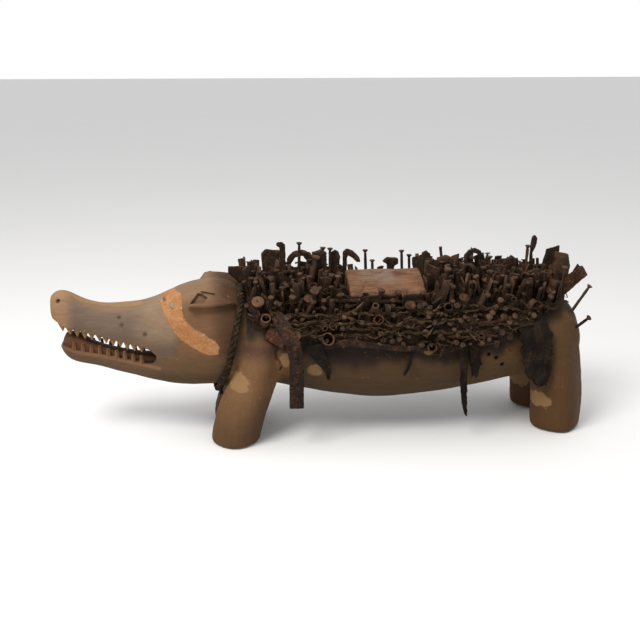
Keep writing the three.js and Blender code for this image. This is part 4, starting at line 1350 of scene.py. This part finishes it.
def blockMaterial():
    material, wire = newMaterial("blockWood")
    place = placeOf(wire)
    grain = wire.noise(place, 3.4, 5, 0.65, (11, 1, 1), 0.4)
    patch = wire.noise(place, 26, 4, 0.6, (1.6, 1, 1))
    speck = wire.noise(place, 2.6, 3, 0.65)
    across, back, up = wire.parts(place)
    colour = (grain * 0.65 + patch * 0.35).step(0.36, 0.62).tint(tone(104, 72, 52), tone(152, 112, 84))
    sheen = (1 - ((across - 104) * 0.02) ** 2.0).step(0.2, 1.0) * (1 - ((back + 18) * 0.03) ** 2.0).step(0.1, 1.0)
    colour = (sheen * patch.step(0.34, 0.6) * 0.75).tint(colour, tone(146, 130, 118))
    colour = ((patch + speck * 0.7).step(0.93, 1.05) * 0.6).tint(colour, tone(166, 104, 72))
    colour = ((grain * 0.8 + speck * 0.3).step(0.47, 0.36) * 0.8).tint(colour, tone(60, 36, 24))
    # Painted shade: the block's sides, below the edge of its top, are made dark
    colour = (up.step(266, 258)).tint(colour, tone(52, 36, 26))
    closeMaterial(wire, colour, 0.66 + grain * 0.16, grain * 0.8 + speck * 0.25, 1.0, 0.0, matt)
    return material


backBlock = worked(copyOf("back_block"), "backBlock", 2.2, 0.5, 16, 0.5, 60, blockGrain)
handOver(backBlock, [blockMaterial()], ["back_block"])


# Eyes: a pale ring round a dull green bead
eye = {"x": -258, "z": 250, "radius": 5.5}


def eyeMaterials():
    ring, wire = newMaterial("eyeRing")
    place = placeOf(wire)
    grit = wire.noise(place, 2.2, 3)
    closeMaterial(wire, grit.tint(tone(150, 122, 92), tone(196, 176, 146)), 0.6, grit, 0.4, 0.0, matt)
    bead, wire = newMaterial("eyeBead")
    place = placeOf(wire)
    grit = wire.noise(place, 2.6, 3)
    closeMaterial(wire, grit.step(0.35, 0.65).tint(tone(96, 98, 78), tone(150, 156, 128)), 0.3, grit, 0.2)
    return [ring, bead]


eyePaint = eyeMaterials()
for side, name, node in ((-1, "leftEye", "left_eye"), (1, "rightEye", "right_eye")):
    angle = -side * sideAngle(eye["x"], eye["z"])
    bm = bmesh.new()
    r = eye["radius"]
    profile = [(-3, 1.0), (0.6, 1.08), (1.5, 1.0), (1.7, 0.84), (1.1, 0.7), (1.3, 0.6), (2.0, 0.4), (2.3, 0.12)]
    shaft(bm, [(rise, 0, 0, r * wide, r * wide, 0) for rise, wide in profile], 24)
    bmesh.ops.recalc_face_normals(bm, faces=bm.faces)
    for face in bm.faces:
        middle = face.calc_center_median()
        face.material_index = 1 if middle.z > 0.9 and Vector(middle.xy).length < r * 0.68 else 0
    way = trunkNormal(eye["x"], angle).to_track_quat("Z", "Y").to_matrix().to_4x4()
    bmesh.ops.transform(bm, matrix=Matrix.Translation(trunkPoint(eye["x"], angle)) @ way, verts=bm.verts)
    handOver(newPiece(bm, name), eyePaint, [node])


# Twisted fibre: the collar behind the jaw and the cords bound through the irons
def strand(bm, path, radius, sides=8, around=False, ridges=0):
    rings = []
    last = len(path) - 1
    for i, point in enumerate(path):
        before = path[i - 1 if around or i > 0 else 0]
        after = path[(i + 1) % len(path) if around else min(i + 1, last)]
        way = (after - before).normalized()
        side = way.cross(Vector((0, 0.2, 1))).normalized()
        up = side.cross(way)
        ring = []
        for k in range(sides):
            a = 2 * math.pi * k / sides
            r = radius * (1 + 0.16 * math.sin(ridges * a + i * 0.9)) if ridges else radius
            if not around:
                r *= min(1, 0.35 + 0.3 * min(i, last - i))
            ring.append(point + side * r * math.cos(a) + up * r * math.sin(a))
        rings.append(ring)
    loft(bm, rings, around)
    return rings


collar = {"grow": 7.4, "strandRadius": 3.0, "offset": 3.1, "turns": 19, "steps": 300, "slant": 47, "top": -141}


def collarPoint(t):
    drop = ((1 - math.cos(t)) / 2) ** 1.4
    x = collar["top"] - collar["slant"] * drop
    return trunkPoint(x, t, collar["grow"] + 1.3 * fractal((math.cos(t) * 60, math.sin(t) * 60, 0), 22, 2, 3))


def collarRope():
    bm = bmesh.new()
    for order in range(3):
        path = []
        for i in range(collar["steps"]):
            t = 2 * math.pi * i / collar["steps"]
            centre = collarPoint(t)
            way = (collarPoint(t + 0.02) - collarPoint(t - 0.02)).normalized()
            side = Vector((1, 0, 0)).cross(way).normalized()
            up = way.cross(side)
            a = collar["turns"] * t + order * 2 * math.pi / 3
            wide = collar["offset"] * (1 + 0.16 * fractal(centre, 9, 2, 5 + order))
            path.append(centre + side * wide * math.cos(a) + up * wide * math.sin(a))
        strand(bm, path, collar["strandRadius"], 9, True, 4)
    low = collarPoint(math.radians(142))
    for i in range(9):
        draw = random.Random(90 + i)
        start = low + Vector((draw.uniform(-3, 3), draw.uniform(-4, 4), -2))
        fall = [start]
        for step in range(1, 9):
            fall.append(fall[-1] + Vector((draw.uniform(-0.9, 0.9), draw.uniform(-0.9, 0.9), -draw.uniform(1.6, 2.6))))
        strand(bm, fall, draw.uniform(0.8, 1.4), 5)
    bmesh.ops.recalc_face_normals(bm, faces=bm.faces)
    return newPiece(bm, "neckRope")


def fibreMaterial(name, dark, middle, light):
    material, wire = newMaterial(name)
    place = placeOf(wire)
    hair = wire.noise(place, 1.6, 3, 0.7, (2.5, 1, 1), 1.0)
    cloud = wire.noise(place, 12, 3, 0.6)
    colour = (hair * 0.6 + cloud * 0.4).step(0.36, 0.6).tint(dark, middle)
    colour = ((hair + cloud * 0.7).step(0.92, 1.1) * 0.8).tint(colour, light)
    closeMaterial(wire, colour, 0.85, hair, 1.0, 0.0, matt)
    return material


ropeFibre = fibreMaterial("ropeFibre", tone(24, 17, 12), tone(66, 50, 33), tone(138, 112, 78))
boundCord = fibreMaterial("boundCord", tone(34, 24, 15), tone(84, 63, 40), tone(150, 122, 80))
handOver(collarRope(), [ropeFibre], ["neck_rope"])

# Cords run along the flanks from iron to iron: stretch along X, height, how far out, radius
cordRuns = [
    (-112, 60, 252, 20, 1.7), (-96, 210, 262, 22, 2.0), (-60, 190, 238, 26, 1.5), (-104, 30, 226, 24, 1.6),
    (-20, 236, 224, 26, 1.7), (120, 330, 244, 24, 2.0), (190, 408, 236, 22, 1.6), (230, 440, 258, 20, 1.8),
    (60, 250, 206, 22, 1.5), (-80, 60, 206, 20, 1.4), (206, 300, 196, 18, 1.5), (330, 438, 240, 16, 1.5),
    (-118, -20, 238, 20, 1.3), (20, 160, 216, 24, 1.4), (262, 360, 214, 20, 1.4), (-90, 10, 216, 22, 1.2),
]


def boundCords():
    bm = bmesh.new()
    for side in (-1, 1):
        for i, (start, end, z, out, radius) in enumerate(cordRuns):
            draw = random.Random(200 + i + 40 * side)
            if side > 0 and i % 3 == 2:
                continue
            steps = max(12, round((end - start) / 4))
            for ply in (0, 1):
                path = []
                for k in range(steps + 1):
                    x = mix(start, end, k / steps)
                    wave = fractal((x, 0, 0), 34, 3, i + ply * 0.02)
                    angle = outerAngle(x, z + 9 * wave, out)
                    spot = trunkPoint(x, angle) + trunkNormal(x, angle) * (out + 6 * fractal((x, 9, 0), 24, 2, i))
                    a = x / 4.2 + ply * math.pi
                    spot += Vector((0, math.cos(a), math.sin(a))) * radius * 0.9
                    path.append(Vector((spot.x, -side * spot.y, spot.z)))
                strand(bm, path, radius * draw.uniform(0.9, 1.1), 6)
        for i in range(70):
            draw = random.Random(400 + i + 100 * side)
            x = draw.uniform(-120, 430)
            z = lineHeight(bedEdge, x) + draw.uniform(14, 62)
            out = draw.uniform(12, 24)
            path = []
            heading = draw.uniform(-0.6, 0.6)
            for k in range(draw.randint(7, 15)):
                angle = outerAngle(min(x, 450), max(z, 170), out)
                spot = trunkPoint(x, angle) + trunkNormal(x, angle) * out
                path.append(Vector((spot.x, -side * spot.y, spot.z)))
                heading += draw.gauss(0, 0.35)
                x += 3.4 * math.cos(heading)
                z += 3.4 * math.sin(heading)
                out += draw.uniform(-1.2, 1.2)
            strand(bm, path, draw.uniform(0.6, 1.3), 5)
    bmesh.ops.recalc_face_normals(bm, faces=bm.faces)
    return newPiece(bm, "boundCords")


handOver(boundCords(), [boundCord])

# Strips of dark cloth and hide that hang from under the irons: middle, half width, at each station
hangings = {
    "shoulderRag": {
        "node": "shoulder_rag", "flat": (0.032, 0.068), "area": 0.0012,
        "stations": [((-22, -104, 190), 15), ((-12, -108, 164), 10), ((-1, -107, 146), 6), ((2, -106, 129), 1.6)],
        "tilt": 0.2,
    },
    "shortStrip": {
        "node": "short_strip", "flat": (0.02, 0.055), "area": 0.0006,
        "stations": [((136, -107, 180), 9), ((142, -109, 152), 4), ((133, -107, 129), 3)],
        "tilt": 0.1,
    },
    "longStrip": {
        "node": "long_strip", "flat": (0.02, 0.152), "area": 0.0019,
        "stations": [
            ((236, -102, 200), 9), ((236, -113, 160), 7), ((239, -110, 110), 6), ((242, -108, 76), 4.5), ((246, -107, 51), 2)
        ],
        "tilt": 0.0,
    },
    "flankCloth": {
        "node": "flank_cloth", "flat": (0.022, 0.08), "area": 0.0014,
        "stations": [((256, -100, 198), 10), ((258, -108, 158), 9), ((260, -104, 120), 6)],
        "tilt": 0.0,
    },
    "haunchCloth": {
        "node": "haunch_cloth", "flat": (0.06, 0.14), "area": 0.0066,
        "stations": [
            ((360, -76, 228), 22), ((362, -102, 210), 26), ((365, -109, 186), 28), ((368, -109, 156), 27),
            ((374, -107, 120), 21), ((380, -106, 98), 11),
        ],
        "tilt": 0.0,
    },
}


def clothMaterial():
    material, wire = newMaterial("darkCloth")
    place = placeOf(wire)
    across, back, up = wire.parts(place)
    warp = wire.sum("SINE", across * 4.4)
    weft = wire.sum("SINE", up * 4.4)
    weave = warp * weft * 0.5 + 0.5
    cloud = wire.noise(place, 18, 4, 0.6, (1, 1, 1.8))
    lint = wire.noise(place, 2.4, 3, 0.7)
    colour = (cloud * 0.7 + lint * 0.3).step(0.38, 0.64).tint(tone(20, 14, 10), tone(50, 38, 27))
    colour = ((lint + cloud * 0.6).step(0.86, 1.0) * 0.5).tint(colour, tone(86, 68, 48))
    closeMaterial(wire, colour, 0.9, weave * 0.35 + lint * 0.6, 0.8, 0.0, matt)
    return material


darkCloth = clothMaterial()


def hanging(name, facts, seed):
    rows = [[i, *spot, half] for i, (spot, half) in enumerate(facts["stations"])]
    last = len(rows) - 1
    tall = sum((Vector(a[1:4]) - Vector(b[1:4])).length for a, b in zip(rows, rows[1:]))
    ups = max(8, round(tall / 3.2))
    wides = max(5, round(max(row[4] for row in rows) * 2 / 3.4))
    bm = bmesh.new()
    bmesh.ops.create_grid(bm, x_segments=wides, y_segments=ups, size=0.5)
    for vert in bm.verts:
        across, down = vert.co.x * 2, 0.5 - vert.co.y
        t = down * last
        spot = Vector([along(rows, t, k) for k in (1, 2, 3)])
        half = along(rows, t, 4)
        frayed = 1 + (0.16 + 0.2 * down) * fractal((across * 30, down * tall, 0), 9, 3, seed)
        fold = 1.8 * fractal((across * 11 + down * 5, down * 2, 0), 5, 2, seed + 1) * smooth(0, 0.3, down)
        end = 7 * fractal((across * 9, 3, 0), 5, 2, seed + 2) * smooth(0.75, 1, down)
        side = Vector((math.cos(facts["tilt"]), 0, math.sin(facts["tilt"])))
        vert.co = spot + side * half * across * frayed + Vector((0, fold, end))
    bmesh.ops.recalc_face_normals(bm, faces=bm.faces)
    piece = newPiece(bm, name)
    wall = piece.modifiers.new("wall", "SOLIDIFY")
    wall.thickness = 1.5
    wall.offset = 0
    settle(piece)
    handOver(piece, [darkCloth], [facts["node"]])
    holder = "ironBedRear" if facts["stations"][0][0][0] > 182 else "ironBedFront"
    holder = "ironBedLeft" if 46 < facts["stations"][0][0][0] < 182 else holder


for seed, (name, facts) in enumerate(hangings.items()):
    hanging(name, facts, 300 + seed)

# The iron strap over the shoulder, with the nails that hold it
strapNails = [(-57, -121, 190), (-55, -121, 176), (-56, -117, 128), (-52, -117, 96)]
bm = copyOf("shoulder_strap")
for spot in strapNails:
    addCylinder(bm, Vector(spot), Vector((0, -1, 0.15)), 3.2, 3.0, 12)
strap = worked(bm, "shoulderStrap", 1.25, 0.7, 14, 0.35, 80)
handOver(strap, [blackIron], ["shoulder_strap"])


# Floor and light
def newLight(name, turn, rise, distance, size, power, colour):
    lamp = bpy.data.lights.new(name, "AREA")
    lamp.shape = "DISK"
    lamp.size = size
    lamp.energy = power
    lamp.color = colour
    holder = bpy.data.objects.new(name, lamp)
    toward = aimFrom(turn, rise)
    holder.location = toFrame @ (Vector(cameraView["aim"]) + toward * distance)
    holder.rotation_euler = toward.to_track_quat("Z", "Y").to_euler()
    bpy.context.scene.collection.objects.link(holder)


newLight("keyLight", -42, 50, 2400, 1.1, 62, (1.0, 0.97, 0.93))
newLight("topLight", 10, 80, 2200, 1.8, 14, (1.0, 0.98, 0.95))

ground = bmesh.new()
bmesh.ops.create_grid(ground, x_segments=1, y_segments=1, size=20)
floor = newPiece(ground, "floor")
floorPaint, wire = newMaterial("floorPaint")
place = placeOf(wire)
pale = wire.noise(place, 400).tint((0.58, 0.58, 0.58), (0.6, 0.6, 0.6))
closeMaterial(wire, pale, 0.9, wire.noise(place, 3), 0.05)
floor.data.materials.append(floorPaint)

world = bpy.data.worlds.new("studio")
bpy.context.scene.world = world
world.use_nodes = True
world.node_tree.nodes["Background"].inputs["Color"].default_value = (1, 1, 1, 1)
world.node_tree.nodes["Background"].inputs["Strength"].default_value = 1.0
bpy.context.scene.view_settings.view_transform = "Standard"
